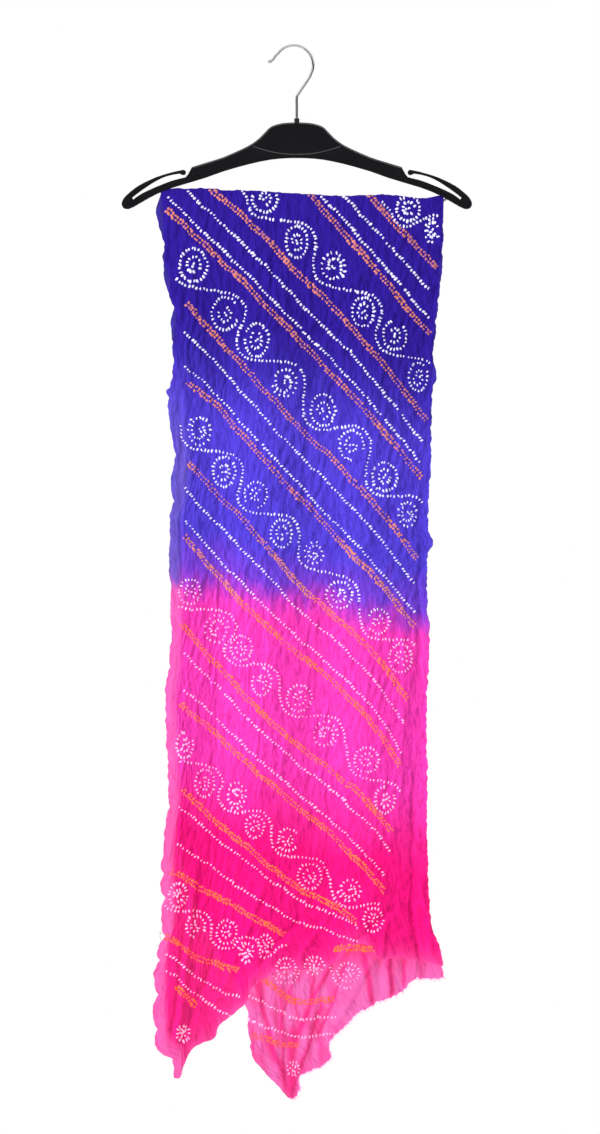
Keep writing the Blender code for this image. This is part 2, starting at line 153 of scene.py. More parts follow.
# The inner face shows below this height and left of this place
FRONT_INSIDE = (-1000.0, -20.0)
BACK_INSIDE = (-1060.0, 400.0)
TICK_SPACING = 4.4  # of the ticks round a rosette
DOT_SIDES = 6
DOT_CROWN = 0.62
STAIN_SCALE = 420.0
FADE_SCALE = 60.0
# How far, in millimetres, a place lies below the cloth around it where its painted crease shade is full
TROUGH_DEEP = 1.5
SINK = 0.25  # how far a dot's rim lies inside the cloth's surface
FRONT_TAIL = (
    # x, z, half_wide, half_tall
    (-136.2, -1184.1, 7.0, 9.0), (-12.7, -1105.9, 11.5, 12.0), (21.0, -1104.0, 12.0, 11.0),
    (62.0, -1112.0, 13.0, 11.0),
)
BACK_TAIL = ((-4.0, -1228.0, 7.0, 8.0),)
FRONT_ENDS = (((44.0, -1084.5), (58.0, -1081.5), (74.0, -1080.5), (94.0, -1084.0)),)

# Fibres and threads
FIBRE_D = 0.26
FIBRE_SIDES = 3
FIBRE_CROWN = 0.4
FRONT_FIBRES = (420, 3, 1.6, 4.0)  # count, seed, usual length, longest
BACK_FIBRES = (1500, 4, 2.4, 6.0)
DARK_FIBRE = (0.05, 0.012, 0.03)
THREAD_D = 0.35
THREAD_SCALE = 300.0
THREADS = (
    ((-152.0, 1.0, -1052.0), (-159.0, -1.0, -1058.0), (-164.0, -2.0, -1066.0), (-162.0, -2.0, -1074.0)),
    ((-154.0, 1.0, -1062.0), (-160.0, -1.0, -1064.0), (-166.0, -2.0, -1063.0)),
    ((-156.0, 0.0, -1070.0), (-163.0, -1.0, -1078.0), (-168.0, -2.0, -1079.0)),
)

# Hanger, sleeve and hook's head
TOP_EDGE = (
    # x, z: from the neck to the corner by the slot
    (0.0, -91.1), (10.0, -91.5), (19.4, -92.5), (30.4, -96.0), (36.2, -101.0), (44.3, -109.4), (53.3, -116.4),
    (64.2, -122.4), (87.8, -132.8), (106.0, -138.6), (125.8, -144.7),
)
PANEL_ARC = (
    # x, z: lower boundary of the recessed centre panel
    (-52.5, -119.8), (-38.0, -124.6), (-20.0, -128.4), (0.0, -129.6), (20.0, -128.4), (38.0, -124.6),
    (52.5, -119.8),
)
# Raised lips inside the top edge and along the panel, coloured lighter as a painted highlight
LIP_IN = 1.3
LIP_Y = -2.85
LIP_R = 0.42
ARC_R = 0.30
SHARP_ANGLE = 34.0
WELD = 0.004
GRAIN_SCALE = 2600.0
GRAIN_HEIGHT = 0.00012
SLEEVE = (
    # radius, z
    (1.85, -86.5), (2.0, -86.3), (2.8, -86.3), (3.03, -86.4), (3.1, -86.7), (3.1, -90.3), (3.03, -90.6),
    (2.8, -90.7), (2.0, -90.7), (1.85, -90.5),
)
HEAD_Z = (-97.6, -97.8, -98.1, -99.7, -100.0)
HEAD_R = (1.5, 2.3, 2.5, 2.5, 2.3)

# Stage, in metres
FLOOR_Z = -1.45
FLOOR_HALF = 1.05
FLOOR_TONES = ((0.80, 0.80, 0.80), (0.84, 0.84, 0.84))
SENSOR = 36.0
VIEW_HEIGHT = 1.3608
CAMERA_PLACE = (0.00744, -5.0, -0.6245)
WORLD_LIGHT = 0.84
STUDIO_GLOSS = 1.0
SOFT_ACROSS = ((0.0, 1.0), (0.42, 0.95), (0.62, 0.55), (1.0, 0.42))
# What glossy surfaces reflect: the tone from below to above, from left to right, and from front to behind
GLOSS_UP = ((0.0, 0.55), (0.38, 0.42), (0.46, 0.05), (0.54, 0.05), (0.62, 0.80), (1.0, 1.0))
GLOSS_ACROSS = ((0.0, 0.16), (0.22, 0.08), (0.45, 0.02), (0.80, 0.03), (1.0, 0.10))
GLOSS_BEHIND = ((0.0, 1.0), (0.55, 1.0), (0.72, 0.14), (1.0, 0.10))
LIGHTS = (
    # name, place, target, diameter, watts
    ("key_light", (-2.8, -1.9, 0.7), (0.0, 0.0, -0.65), 0.8, 150.0),
    ("fill_light", (2.2, -3.0, -0.4), (0.0, 0.0, -0.7), 2.0, 24.0),
)

CREST = (
    # x, z
    (-163.6, -169.6), (-150.0, -168.9), (-139.0, -168.6), (-134.2, -169.5), (-112.6, -168.5), (-88.0, -170.6),
    (-63.4, -171.4), (-20.0, -173.4), (15.8, -175.7), (59.0, -178.0), (82.0, -177.0), (104.6, -176.5),
    (122.6, -177.5), (145.4, -180.3), (161.0, -179.4), (168.0, -178.0), (176.4, -177.4),
)
FRONT_LEFT = (
    # x, z
    (-161.3, -193.7), (-159.4, -239.0), (-156.5, -256.0), (-150.7, -296.0), (-144.5, -325.0),
    (-144.5, -345.0), (-148.6, -362.0), (-148.0, -400.0), (-148.6, -440.0), (-143.0, -502.0),
    (-143.8, -525.0), (-151.3, -564.0), (-152.0, -600.0), (-150.7, -677.0), (-149.8, -710.0),
    (-156.6, -779.0), (-155.5, -838.0), (-153.2, -893.0), (-155.5, -928.0), (-160.1, -963.0),
    (-161.3, -998.0), (-159.0, -1055.0), (-167.0, -1098.0), (-169.3, -1150.0), (-168.5, -1192.0),
    (-161.0, -1208.0), (-150.0, -1215.0), (-147.5, -1235.5),
)
FRONT_RIGHT = (
    # x, z
    (175.7, -214.0), (174.5, -268.0), (170.5, -298.0), (167.0, -339.0), (163.4, -366.0), (167.2, -394.0),
    (162.2, -424.0), (161.6, -478.0), (160.0, -520.0), (157.0, -573.0), (163.0, -596.0), (156.0, -615.0),
    (155.8, -653.0), (159.5, -715.0), (156.0, -792.0), (156.8, -871.0), (156.8, -952.0), (161.0, -1048.0),
    (171.6, -1080.0), (176.0, -1104.0),
)
FRONT_HEM = (
    # x, z
    (-147.5, -1235.5), (-140.0, -1236.5), (-135.0, -1222.0), (-128.2, -1208.0), (-121.0, -1200.5),
    (-99.0, -1190.5), (-94.0, -1176.5), (-77.8, -1163.3), (-61.0, -1147.7), (-55.0, -1132.0),
    (-38.2, -1117.7), (-27.4, -1110.5), (-4.6, -1108.1), (42.2, -1103.3), (53.0, -1090.1), (67.4, -1080.5),
    (84.0, -1078.0), (99.8, -1096.0), (122.6, -1094.0), (150.0, -1098.0), (176.0, -1104.0),
)
BACK_LEFT = (
    # x, z
    (-168.4, -195.2), (-163.0, -214.0), (-158.0, -260.0), (-149.0, -320.0), (-147.0, -398.0),
    (-156.0, -414.0), (-152.0, -436.0), (-148.0, -470.0), (-148.0, -540.0), (-150.0, -680.0),
    (-152.0, -800.0), (-148.0, -900.0), (-134.0, -990.0), (-104.0, -1070.0), (-72.0, -1122.0),
    (-60.0, -1158.0), (-57.0, -1180.0), (-54.5, -1205.0), (-44.0, -1226.0), (-27.0, -1243.0), (-9.0, -1265.5),
)
BACK_RIGHT = (
    # x, z
    (172.0, -260.0), (165.0, -340.0), (162.0, -420.0), (158.0, -560.0), (156.0, -700.0), (154.0, -900.0),
    (158.0, -1040.0), (170.0, -1085.0), (177.0, -1118.0),
)
BACK_HEM = (
    # x, z
    (-9.0, -1265.5), (-3.0, -1264.0), (3.4, -1253.3), (2.6, -1240.0), (12.2, -1232.4), (32.6, -1223.3),
    (41.0, -1213.7), (38.8, -1204.0), (43.0, -1190.9), (66.2, -1168.1), (80.0, -1157.3), (101.9, -1145.3),
    (113.6, -1142.4), (128.6, -1132.1), (141.8, -1120.1), (160.0, -1119.5), (177.0, -1118.0),
)
# Soft folds that both falls share. Depth is how far each stands forward, at the top, halfway and at the hem
FOLDS = (
    # x_top, x_low, half_width, depth_top, depth_mid, depth_low
    (-136.0, -150.0, 24.0, 2.6, 5.0, 8.0), (-84.0, -98.0, 26.0, -1.8, -3.0, -3.0),
    (-30.0, -44.0, 30.0, 2.4, 4.4, 5.6), (34.0, 26.0, 26.0, -1.6, -3.4, -3.0),
    (92.0, 84.0, 26.0, 2.2, 3.6, 4.6), (156.0, 150.0, 20.0, -1.4, -3.0, -4.0),
)
BACK_PLEATS = (
    # x_high, x_low, half_width, depth
    (-60.0, -30.0, 14.0, 5.0), (10.0, 0.0, 12.0, 5.0), (60.0, 26.0, 12.0, 4.0), (104.0, 98.0, 8.0, 4.0),
    (132.0, 128.0, 8.0, 4.0), (160.0, 158.0, 9.0, 5.0),
)
# Creases placed one by one. Depth is how far the cloth stands out along each, or in where it is negative
FRONT_CREASES = (
    # x_high, z_high, x_low, z_low, half_width, depth
    (-141.0, -430.0, -138.0, -640.0, 4.0, -1.8), (-128.0, -200.0, -134.0, -330.0, 4.5, -1.4),
    (-92.0, -640.0, -104.0, -760.0, 4.0, -1.3), (-60.0, -620.0, -76.0, -705.0, 4.5, 1.5),
    (-22.0, -210.0, -34.0, -320.0, 4.0, -1.2), (18.0, -420.0, 6.0, -560.0, 4.5, -1.4),
    (62.0, -300.0, 50.0, -430.0, 4.0, 1.3), (96.0, -205.0, 88.0, -300.0, 4.5, -1.3),
    (118.0, -430.0, 112.0, -590.0, 4.5, -1.5), (148.0, -560.0, 146.0, -760.0, 4.0, -1.6),
    (130.0, -700.0, 122.0, -930.0, 4.0, 1.4), (142.0, -860.0, 138.0, -1060.0, 4.5, -1.8),
    (-120.0, -980.0, -144.0, -1190.0, 6.0, 3.0), (-134.0, -1060.0, -152.0, -1200.0, 4.5, -2.4),
    (-96.0, -1080.0, -136.0, -1196.0, 5.0, -2.2), (-40.0, -1010.0, -96.0, -1150.0, 6.0, 2.4),
    (10.0, -1040.0, -52.0, -1110.0, 5.0, -2.2), (60.0, -1010.0, 0.0, -1098.0, 5.5, 2.2),
    (120.0, -1030.0, 70.0, -1076.0, 5.0, -2.2), (108.0, -1050.0, 104.0, -1092.0, 4.0, 2.2),
    (150.0, -1000.0, 164.0, -1096.0, 5.0, 2.8), (136.0, -1030.0, 150.0, -1098.0, 4.5, -2.6),
)
BACK_CREASES = (
    # x_high, z_high, x_low, z_low, half_width, depth
    (-120.0, -240.0, -128.0, -420.0, 5.0, -1.5), (-70.0, -330.0, -64.0, -520.0, 5.0, 1.4),
    (-10.0, -220.0, -4.0, -380.0, 4.5, -1.4), (48.0, -480.0, 42.0, -690.0, 5.0, 1.5),
    (100.0, -260.0, 104.0, -430.0, 4.5, -1.4), (126.0, -620.0, 118.0, -840.0, 5.0, -1.6),
    (-96.0, -700.0, -90.0, -900.0, 5.0, 1.5), (-34.0, -1080.0, -22.0, -1236.0, 5.0, -3.0),
    (-10.0, -1060.0, -12.0, -1250.0, 4.5, 3.0), (40.0, -1090.0, -2.0, -1244.0, 5.0, -3.0),
    (66.0, -1080.0, 14.0, -1226.0, 5.0, 2.6), (90.0, -1100.0, 34.0, -1206.0, 5.0, -2.6),
    (104.0, -1080.0, 99.0, -1142.0, 4.0, 3.2), (112.0, -1090.0, 110.0, -1140.0, 3.4, -2.8),
    (129.0, -1080.0, 127.0, -1130.0, 4.0, 3.0), (143.0, -1080.0, 142.0, -1118.0, 3.6, -2.8),
    (158.0, -1085.0, 157.0, -1117.0, 4.0, 2.6),
)
# Narrow gathers of the back's free end, where the cloth lies in several thicknesses
GATHERS = (
    # x_high, z_high, x_low, z_low, half_width, how much
    (79.0, -1078.0, 91.0, -1150.0, 3.2, 1.0), (112.5, -1086.0, 113.5, -1142.0, 3.0, 1.0),
    (130.5, -1090.0, 129.0, -1130.0, 1.8, 0.9), (42.0, -1096.0, -4.0, -1200.0, 3.0, 0.7),
    (-44.0, -1086.0, -47.0, -1130.0, 4.0, 1.0), (-47.0, -1130.0, -24.0, -1222.0, 3.0, 0.7),
    (-4.0, -1180.0, -6.0, -1262.0, 5.0, 0.9), (30.0, -1150.0, 2.0, -1236.0, 2.6, 0.7),
    (-20.0, -1130.0, -14.0, -1250.0, 2.4, 0.6), (60.0, -1100.0, 26.0, -1190.0, 2.2, 0.6),
    (-2.0, -1120.0, -18.0, -1170.0, 1.8, 0.5), (22.0, -1118.0, 14.0, -1160.0, 1.6, 0.5),
    (150.0, -1092.0, 150.5, -1118.0, 1.6, 0.5), (-36.0, -1180.0, -12.0, -1252.0, 2.2, 0.6),
)

# Scallops of the left selvedges
FRONT_SCALLOPS = (
    # z_high, z_low, pitch, size
    (-250.0, -980.0, 46.0, 2.6), (-985.0, -1215.0, 34.0, 6.5),
)
BACK_SCALLOPS = (
    # z_high, z_low, pitch, size
    (-200.0, -640.0, 58.0, 7.0), (-1060.0, -1240.0, 30.0, 3.0),
)

# Tied pattern. Rows of orange plait, each by its height at seven places across the stole
STATIONS = (-150.0, -100.0, -50.0, 0.0, 50.0, 100.0, 150.0)
PLAITS = (
    # height at each station, then the X where the row starts and ends
    (60.0, 10.0, -45.0, -96.1, -144.1, -192.9, -246.1, -170.0, 170.0),
    (1.0, -51.0, -100.1, -158.1, -216.1, -274.1, -332.9, -170.0, 163.0),
    (-120.1, -172.1, -218.1, -270.9, -319.3, -376.1, -441.3, -170.0, 155.0),
    (-202.1, -247.3, -296.9, -349.3, -401.3, -456.9, -517.3, -157.0, 149.0),
    (-288.1, -344.1, -398.9, -454.1, -502.1, -556.1, -622.1, -133.0, 144.0),
    (-388.1, -428.1, -484.1, -536.1, -591.3, -644.1, -704.9, -133.0, 142.0),
    (-478.1, -532.9, -583.3, -643.3, -688.1, -736.9, -810.1, -131.0, 134.0),
    (-568.1, -628.9, -682.1, -726.9, -768.9, -824.9, -916.1, -135.0, 124.0),
    (-680.1, -739.3, -791.3, -837.3, -876.1, -924.9, -1004.1, -139.0, 114.0),
    (-782.1, -820.9, -869.3, -911.3, -954.1, -1006.9, -1068.1, -139.0, 106.0),
)
FRONT_PLAITS = (
    # the lowest rows of the front fall
    (-878.1, -928.1, -968.1, -1009.3, -1034.1, -1072.1, -1110.0, -137.0, 71.0),
    (-988.1, -1018.1, -1047.3, -1070.1, -1082.1, -1086.1, -1092.1, -152.0, -14.0),
    (-1070.1, -1102.9, -1110.1, -1118.0, -1122.0, -1126.0, -1130.0, -159.0, -70.0),
    (-1122.0, -1168.1, -1196.0, -1210.0, -1214.0, -1218.0, -1222.0, -145.0, -120.0),
)
BACK_PLAITS = (
    # the lowest rows of the back fall
    (-878.1, -928.1, -968.1, -1009.3, -1034.1, -1060.0, -1080.0, -137.0, 100.0),
    (-960.0, -1000.0, -1042.0, -1070.0, -1083.3, -1084.0, -1104.0, -132.0, 96.0),
    (-1076.0, -1096.0, -1112.1, -1146.0, -1143.1, -1138.0, -1132.0, -60.0, 46.0),
    (-1140.0, -1164.0, -1188.0, -1201.0, -1198.0, -1196.0, -1194.0, -55.0, 2.0),
)
# Where the two white rows run between one plait and the next, as shares of the way down. None is a scroll
WHITES = (
    (0.40, 0.80), None, (0.41, 0.80), None, (0.39, 0.83), None, (0.36, 0.78), None, (0.30, 0.78), None,
    (0.22, 0.66), None, (0.40, 0.78),
)
# Rosettes of each scroll, from the left. The vine passes below the first, above the second, and so on
SCROLLS = (
    # x, z, half_wide, half_tall
    (
        (-38.2, -182.1, 15.0, 16.0), (-0.2, -234.1, 13.0, 19.0), (43.8, -264.1, 15.0, 18.0),
        (79.8, -318.1, 13.0, 17.5), (117.8, -346.1, 14.0, 17.5), (145.8, -396.1, 11.0, 17.0),
    ),
    (
        (-124.2, -262.1, 16.5, 20.0), (-86.2, -320.1, 15.5, 19.5), (-48.2, -352.1, 14.0, 20.0),
        (-14.2, -402.1, 15.0, 18.0), (31.8, -436.1, 14.5, 19.0), (65.8, -478.1, 14.5, 17.5),
        (105.8, -516.1, 15.0, 17.0), (133.8, -560.1, 11.5, 16.5),
    ),
    (
        (-116.2, -460.1, 14.0, 19.0), (-87.4, -510.1, 13.5, 18.0), (-49.0, -538.1, 13.5, 15.5),
        (-18.2, -584.1, 12.5, 16.5), (21.8, -608.1, 12.5, 13.0), (51.0, -658.1, 15.5, 16.0),
        (97.8, -690.1, 13.0, 14.5), (124.8, -734.1, 13.5, 17.0),
    ),
    (
        (-128.2, -654.1, 12.5, 15.0), (-96.2, -700.1, 15.0, 18.0), (-66.2, -722.1, 12.5, 15.0),
        (-42.2, -762.1, 11.0, 16.5), (3.0, -782.1, 15.0, 15.5), (33.8, -826.1, 15.0, 16.5),
        (83.8, -856.1, 14.5, 15.0), (105.8, -904.1, 12.0, 16.0),
    ),
    (
        (-134.2, -838.1, 10.0, 15.5), (-110.2, -884.1, 11.5, 16.5), (-73.0, -898.1, 12.5, 16.0),
        (-50.2, -936.1, 11.0, 13.5), (-10.2, -952.1, 12.0, 13.5), (15.8, -996.1, 14.5, 15.0),
        (63.8, -1012.1, 14.0, 14.0), (91.8, -1048.1, 11.5, 14.0),
    ),
)
TOP_SCROLL = (
    # x, z, half_wide, half_tall
    (133.8, -194.1, 14.0, 15.0), (163.0, -221.0, 9.0, 15.0),
)
FRONT_SCROLL = (
    # x, z, half_wide, half_tall
    (-142.2, -1018.1, 10.5, 14.5), (-121.2, -1056.1, 11.0, 13.0), (-84.2, -1063.1, 12.0, 14.0),
    (-60.2, -1086.1, 9.0, 13.0), (-38.2, -1076.1, 9.0, 10.0),
)
BACK_SCROLL = (
    # x, z, half_wide, half_tall
    (-96.0, -1044.0, 11.0, 13.0), (-54.0, -1100.0, 11.0, 12.0), (-12.7, -1105.9, 11.5, 12.0),
    (21.0, -1104.0, 12.0, 11.0), (62.0, -1112.0, 13.0, 11.0),
)
LEFT_MARGIN = (
    # z, x
    (-1200.0, -160.0), (-1070.0, -158.0), (-990.0, -150.0), (-870.0, -138.0), (-690.0, -138.0),
    (-480.0, -137.0), (-300.0, -137.0), (-230.0, -150.0), (-180.0, -157.0), (-160.0, -157.0),
)
RIGHT_MARGIN = (
    # z, x
    (-1150.0, 60.0), (-1100.0, 74.0), (-1056.0, 84.0), (-1014.0, 106.0), (-952.0, 114.0), (-870.0, 124.0),
    (-786.0, 133.0), (-700.0, 141.0), (-614.0, 145.0), (-446.0, 154.0), (-304.0, 161.0), (-190.0, 169.0),
    (-160.0, 170.0),
)


def smoothstep(low, high, value):
    t = np.clip((value - low) / (high - low), 0.0, 1.0)
    return t * t * (3 - 2 * t)


def placed(name, mesh):
    """An object for a mesh, in the scene."""
    obj = bpy.data.objects.new(name, mesh)
    bpy.context.scene.collection.objects.link(obj)
    return obj


def discard(obj):
    mesh = obj.data
    bpy.data.objects.remove(obj, do_unlink=True)
    bpy.data.meshes.remove(mesh)


def unit(vectors):
    return vectors / np.linalg.norm(vectors, axis=-1, keepdims=True)


def aside_of(heading):
    """The way to the left of each heading."""
    return np.stack((-heading[..., 1], heading[..., 0]), -1)


def hump(x, middle, half_width):
    return np.exp(-(((x - middle) / half_width) ** 2))


def smooth_line(rows, per_span=8):
    """Points of a Catmull-Rom line through the rows."""
    pts = np.array(rows, float)
    ends = np.vstack([2 * pts[0] - pts[1], pts, 2 * pts[-1] - pts[-2]])
    t = (np.arange(per_span) / per_span)[:, None]
    line = []
    for a, b, c, d in zip(ends, ends[1:], ends[2:], ends[3:]):
        line.append(
            0.5 * (2 * b + (c - a) * t + (2 * a - 5 * b + 4 * c - d) * t**2
                   + (3 * b - 3 * c + d - a) * t**3)
        )
    return np.vstack([*line, pts[-1:]])


def reach_of(points):
    """How far along a line each of its points is."""
    steps = np.linalg.norm(np.diff(points, axis=0), axis=1)
    return np.concatenate([[0.0], np.cumsum(steps)])


def points_at(places, reach, points):
    return np.stack([np.interp(places, reach, points[:, k]) for k in range(points.shape[1])], -1)


def line_at(points, shares):
    """Points at shares of a line's length."""
    reach = reach_of(points)
    return points_at(shares, reach / reach[-1], points)


def cells(rows, columns):
    """The four corners of each cell of a grid, rows first."""
    index = np.arange(rows * columns).reshape(rows, columns)
    return index[:-1, :-1], index[:-1, 1:], index[1:, 1:], index[1:, :-1]


def lattice(i, j, seed):
    """A repeatable number from -1 to 1 for each lattice place."""
    h = (i * 374761393 + j * 668265263 + seed * 1274126177) & 0xFFFFFFFF
    h = ((h ^ (h >> 13)) * 1274126177) & 0xFFFFFFFF
    return ((h ^ (h >> 16)) & 0xFFFF) / 32767.5 - 1.0


def ripple(a, b, seed):
    """Smooth noise from about -1 to 1, with cells one unit wide."""
    a, b = np.broadcast_arrays(np.asarray(a, float), np.asarray(b, float))
    i, j = np.floor(a).astype(np.int64), np.floor(b).astype(np.int64)
    fa, fb = a - i, b - j
    wa = fa**3 * (fa * (fa * 6 - 15) + 10)
    wb = fb**3 * (fb * (fb * 6 - 15) + 10)
    corner = {}
    for di in (0, 1):
        for dj in (0, 1):
            turn = lattice(i + di, j + dj, seed) * pi
            corner[di, dj] = np.cos(turn) * (fa - di) + np.sin(turn) * (fb - dj)
    low = corner[0, 0] + (corner[1, 0] - corner[0, 0]) * wa
    high = corner[0, 1] + (corner[1, 1] - corner[0, 1]) * wa
    return 1.5 * (low + (high - low) * wb)


def bar_z(x):
    return BAR_Z0 + BAR_SLOPE * (x - BAR_X0)


def folds_y(x, z):
    """How far the shared folds carry the cloth forward."""
    drop = bar_z(x) - z
    share = np.clip(drop / FALL_LENGTH, 0.0, 1.0)
    forward = 0.0
    for x_top, x_low, half_width, depth_top, depth_mid, depth_low in FOLDS:
        middle = x_top + (x_low - x_top) * share
        depth = np.interp(share, (0.0, 0.5, 1.0), (depth_top, depth_mid, depth_low))
        forward = forward + depth * hump(x, middle, half_width)
    return forward * smoothstep(FOLDS_START, FOLDS_FULL, drop)


def front_y(x, z):
    return BAR_Y - WRAP_R - folds_y(x, z)


def back_y(x, z):
    close = smoothstep(FOLDS_START, FOLDS_FULL, bar_z(x) - z)
    gap = 2 * WRAP_R + (FALL_GAP - 2 * WRAP_R) * close
    free = smoothstep(PLEATS_START_Z, PLEATS_FULL_Z, z)
    own = 0.0
    for x_high, x_low, half_width, depth in BACK_PLEATS:
        middle = x_high + (x_low - x_high) * free
        own = own + depth * hump(x, middle, half_width)
    return front_y(x, z) + gap + own * free


def patch(left, right, top, hem, columns, rows):
    """X and Z of a grid between two selvedges, a top line and a hem, rows first."""
    u = np.linspace(0.0, 1.0, columns + 1)
    v = np.linspace(0.0, 1.0, rows + 1)
    sides = [line_at(line, v)[:, None] for line in (left, right)]
    ends = [line_at(line, u)[None] for line in (top, hem)]
    u, v = u[None, :, None], v[:, None, None]
    corners = (ends[0][:, :1] * (1 - u) + ends[0][:, -1:] * u) * (1 - v)
    corners = corners + (ends[1][:, :1] * (1 - u) + ends[1][:, -1:] * u) * v
    return sides[0] * (1 - u) + sides[1] * u + ends[0] * (1 - v) + ends[1] * v - corners


def creases(points, rows, sharp=CREASE_SHARP):
    """Height of the creases placed one by one, over a grid of points."""
    x, z = points[..., 0], points[..., 2]
    height = np.zeros_like(x)
    for x_high, z_high, x_low, z_low, half_width, depth in rows:
        along_x, along_z = x_low - x_high, z_low - z_high
        length = np.hypot(along_x, along_z)
        share = ((x - x_high) * along_x + (z - z_high) * along_z) / length**2
        wander = 2.4 * ripple(share * length / 34.0, x_high * 0.1, 71)
        off = ((x - x_high) * along_z - (z - z_high) * along_x) / length + wander
        ends = smoothstep(-0.12, 0.12, share) * smoothstep(1.12, 0.85, share)
        height += depth * ends * hump(off, 0.0, half_width * sharp)
    return height


def crinkle(a, b, fine, seed, strength):
    """Height of the bark-like wrinkles at places across and along the cloth.

    The share of finer border wrinkle at each place is fine.
    """
    a = a + 0.14 * b + 4.5 * ripple(a / 42, b / 64, seed) + 1.6 * ripple(a / 15, b / 24, seed + 1)
    b = b + 12.0 * ripple(a / 30, b / 52, seed + 2)
    puff = np.abs(ripple(a / 9.0, b / 40, seed + 3)) ** 0.75
    small = np.abs(ripple(a / 6.0, b / 18, seed + 4)) ** 0.9
    wide = ripple(a / 27, b / 66, seed + 5)
    body = 3.0 * puff + 1.7 * small + 1.0 * wide
    border = 2.2 * np.abs(ripple(a / 7.0, b / 15, seed + 6)) + 1.1 * ripple(a / 12, b / 26, seed + 7)
    return strength * (body * (1 - fine) + border * fine - 1.2)


def outward(points, sign):
    """Unit normals of a grid of points."""
    across = np.gradient(points, axis=1)
    down = np.gradient(points, axis=0)
    normal = np.cross(across, down) * sign
    return normal / np.maximum(np.linalg.norm(normal, axis=-1, keepdims=True), 1e-9)


def frill(points, across, along, fray, seed, scallops):
    """Makes the selvedges and the hem uneven, each within a few millimetres of its edge."""
    half, total = across.max(), along.max()
    for side in (-1.0, 1.0):
        near = np.exp(-(half - side * across) / 6.0) * smoothstep(0.0, 60.0, along)
        wave = 1.7 * ripple(along / 17, side, seed) + 1.3 * ripple(along / 6.5, side, seed + 1)
        points[..., 0] += side * near * wave
        points[..., 1] += near * 2.2 * ripple(along / 15, side, seed + 2)
    near = np.exp(-(half + across) / 16.0)
    place = along + 14.0 * ripple(along / 55, 0.5, seed + 6)
    z = points[..., 2]
    for top, low, pitch, size in scallops:
        share = smoothstep(top + 20.0, top - 20.0, z) * smoothstep(low - 20.0, low + 20.0, z)
        points[..., 0] -= near * share * size * (np.abs(np.sin(pi * place / pitch)) ** 0.6 - 0.5)
    near = np.exp(-(total - along) / 5.0)
    wave = 1.3 * ripple(across / 15, 0.5, seed + 3) + fray * ripple(across / 5.0, 0.5, seed + 4)
    points[..., 2] += near * wave
    points[..., 1] += near * 2.0 * ripple(across / 16, 0.5, seed + 5)


def sheet_object(name, points, marks, across, along, flip):
    """A cloth sheet over a grid of points in millimetres, with its own flat map and named marks."""
    a, b, c, d = cells(*points.shape[:2])
    quads = np.stack((a, b, c, d) if flip else (a, d, c, b), -1).reshape(-1, 4)
    mesh = bpy.data.meshes.new(name)
    mesh.from_pydata((points.reshape(-1, 3) + (HANGER_X, 0, 0)) * MM, [], quads.tolist())
    mesh.polygons.foreach_set("use_smooth", np.ones(len(quads), bool))
    flat = np.stack((across + STOLE_W / 2, along.max() - along), -1).reshape(-1, 2) / FLAT_MAP
    uv = mesh.uv_layers.new(name=CLOTH_MAP)
    corner = np.empty(len(mesh.loops), np.int32)
    mesh.loops.foreach_get("vertex_index", corner)
    uv.data.foreach_set("uv", flat[corner].astype(np.float32).ravel())
    for key, values in marks.items():
        made = mesh.attributes.new(key, "FLOAT", "POINT")
        made.data.foreach_set("value", values.astype(np.float32).ravel())
    return placed(name, mesh)


def running_mean(values, reach, axis):
    """Mean over a window of cells to each side of every place."""
    pad = [(0, 0), (0, 0)]
    pad[axis] = (reach + 1, reach)
    total = np.cumsum(np.pad(values, pad, mode="edge"), axis=axis)
    width = 2 * reach + 1
    count = values.shape[axis]
    high = np.take(total, range(width, width + count), axis=axis)
    return (high - np.take(total, range(count), axis=axis)) / width


def crease_shade(height):
    """Painted shade in the creases: from 0 on a ridge to 1 in a crease, against the cloth a few millimetres
    around it.
    """
    around = running_mean(running_mean(height, 4, 1), 5, 0)
    return np.clip((around - height) / TROUGH_DEEP + 0.12, 0.0, 1.0)


def thin_share(points, across, along, free_from):
    """How far a place is a single thin layer: by the left selvedge and the hem, and below free_from."""
    inset = across + STOLE_W / 2 + 3.0 * ripple(along / 30.0, 0.5, 77)
    edge = smoothstep(25.0, 6.0, inset) * smoothstep(-360.0, -520.0, points[..., 2])
    hem = np.exp(-(along.max() - along) / 9.0)
    free = smoothstep(free_from + 30.0, free_from - 30.0, points[..., 2])
    return np.clip(np.maximum(np.maximum(0.75 * edge, 0.4 * hem), free), 0.0, 1.0)


def hung(points):
    """Millimetres of cloth across from its middle and along from its top, for each point of a grid."""
    columns = points.shape[1]
    run = reach_of(points[:, (columns - 1) // 2])
    across = np.broadcast_to(np.linspace(-0.5, 0.5, columns) * STOLE_W, points.shape[:2])
    return across, np.broadcast_to(run[:, None], points.shape[:2])


def fall_outline(left, right, drop):
    """The straight top of a fall, a drop below the bar's middle, and its two selvedges."""
    top = np.array([(x, bar_z(x) - drop) for x in (CREST[0][0], CREST[-1][0])])
    return smooth_line((top[0], *left)), smooth_line((top[1], *right)), top


def over_the_bar(top_x, top_z):
    """Rows of points up behind the bar and over it to the front, with an uneven crest."""
    crest = smooth_line(CREST)
    rise = np.interp(top_x, crest[:, 0], crest[:, 1]) - CREST_IN - top_z
    rise = rise + 0.7 * ripple(top_x / 8.0, 0.3, 61) + 0.5 * ripple(top_x / 4.5, 0.7, 62)
    rows = [np.stack((top_x, np.full_like(top_x, BAR_Y + WRAP_R), top_z - WRAP_TAIL), -1)]
    for turn in np.linspace(pi, 0.0, WRAP_STEPS + 1)[:-1]:
        y = BAR_Y - WRAP_R * np.cos(turn) + 0 * top_x
        rows.append(np.stack((top_x, y, top_z + rise * np.sin(turn)), -1))
    return rows


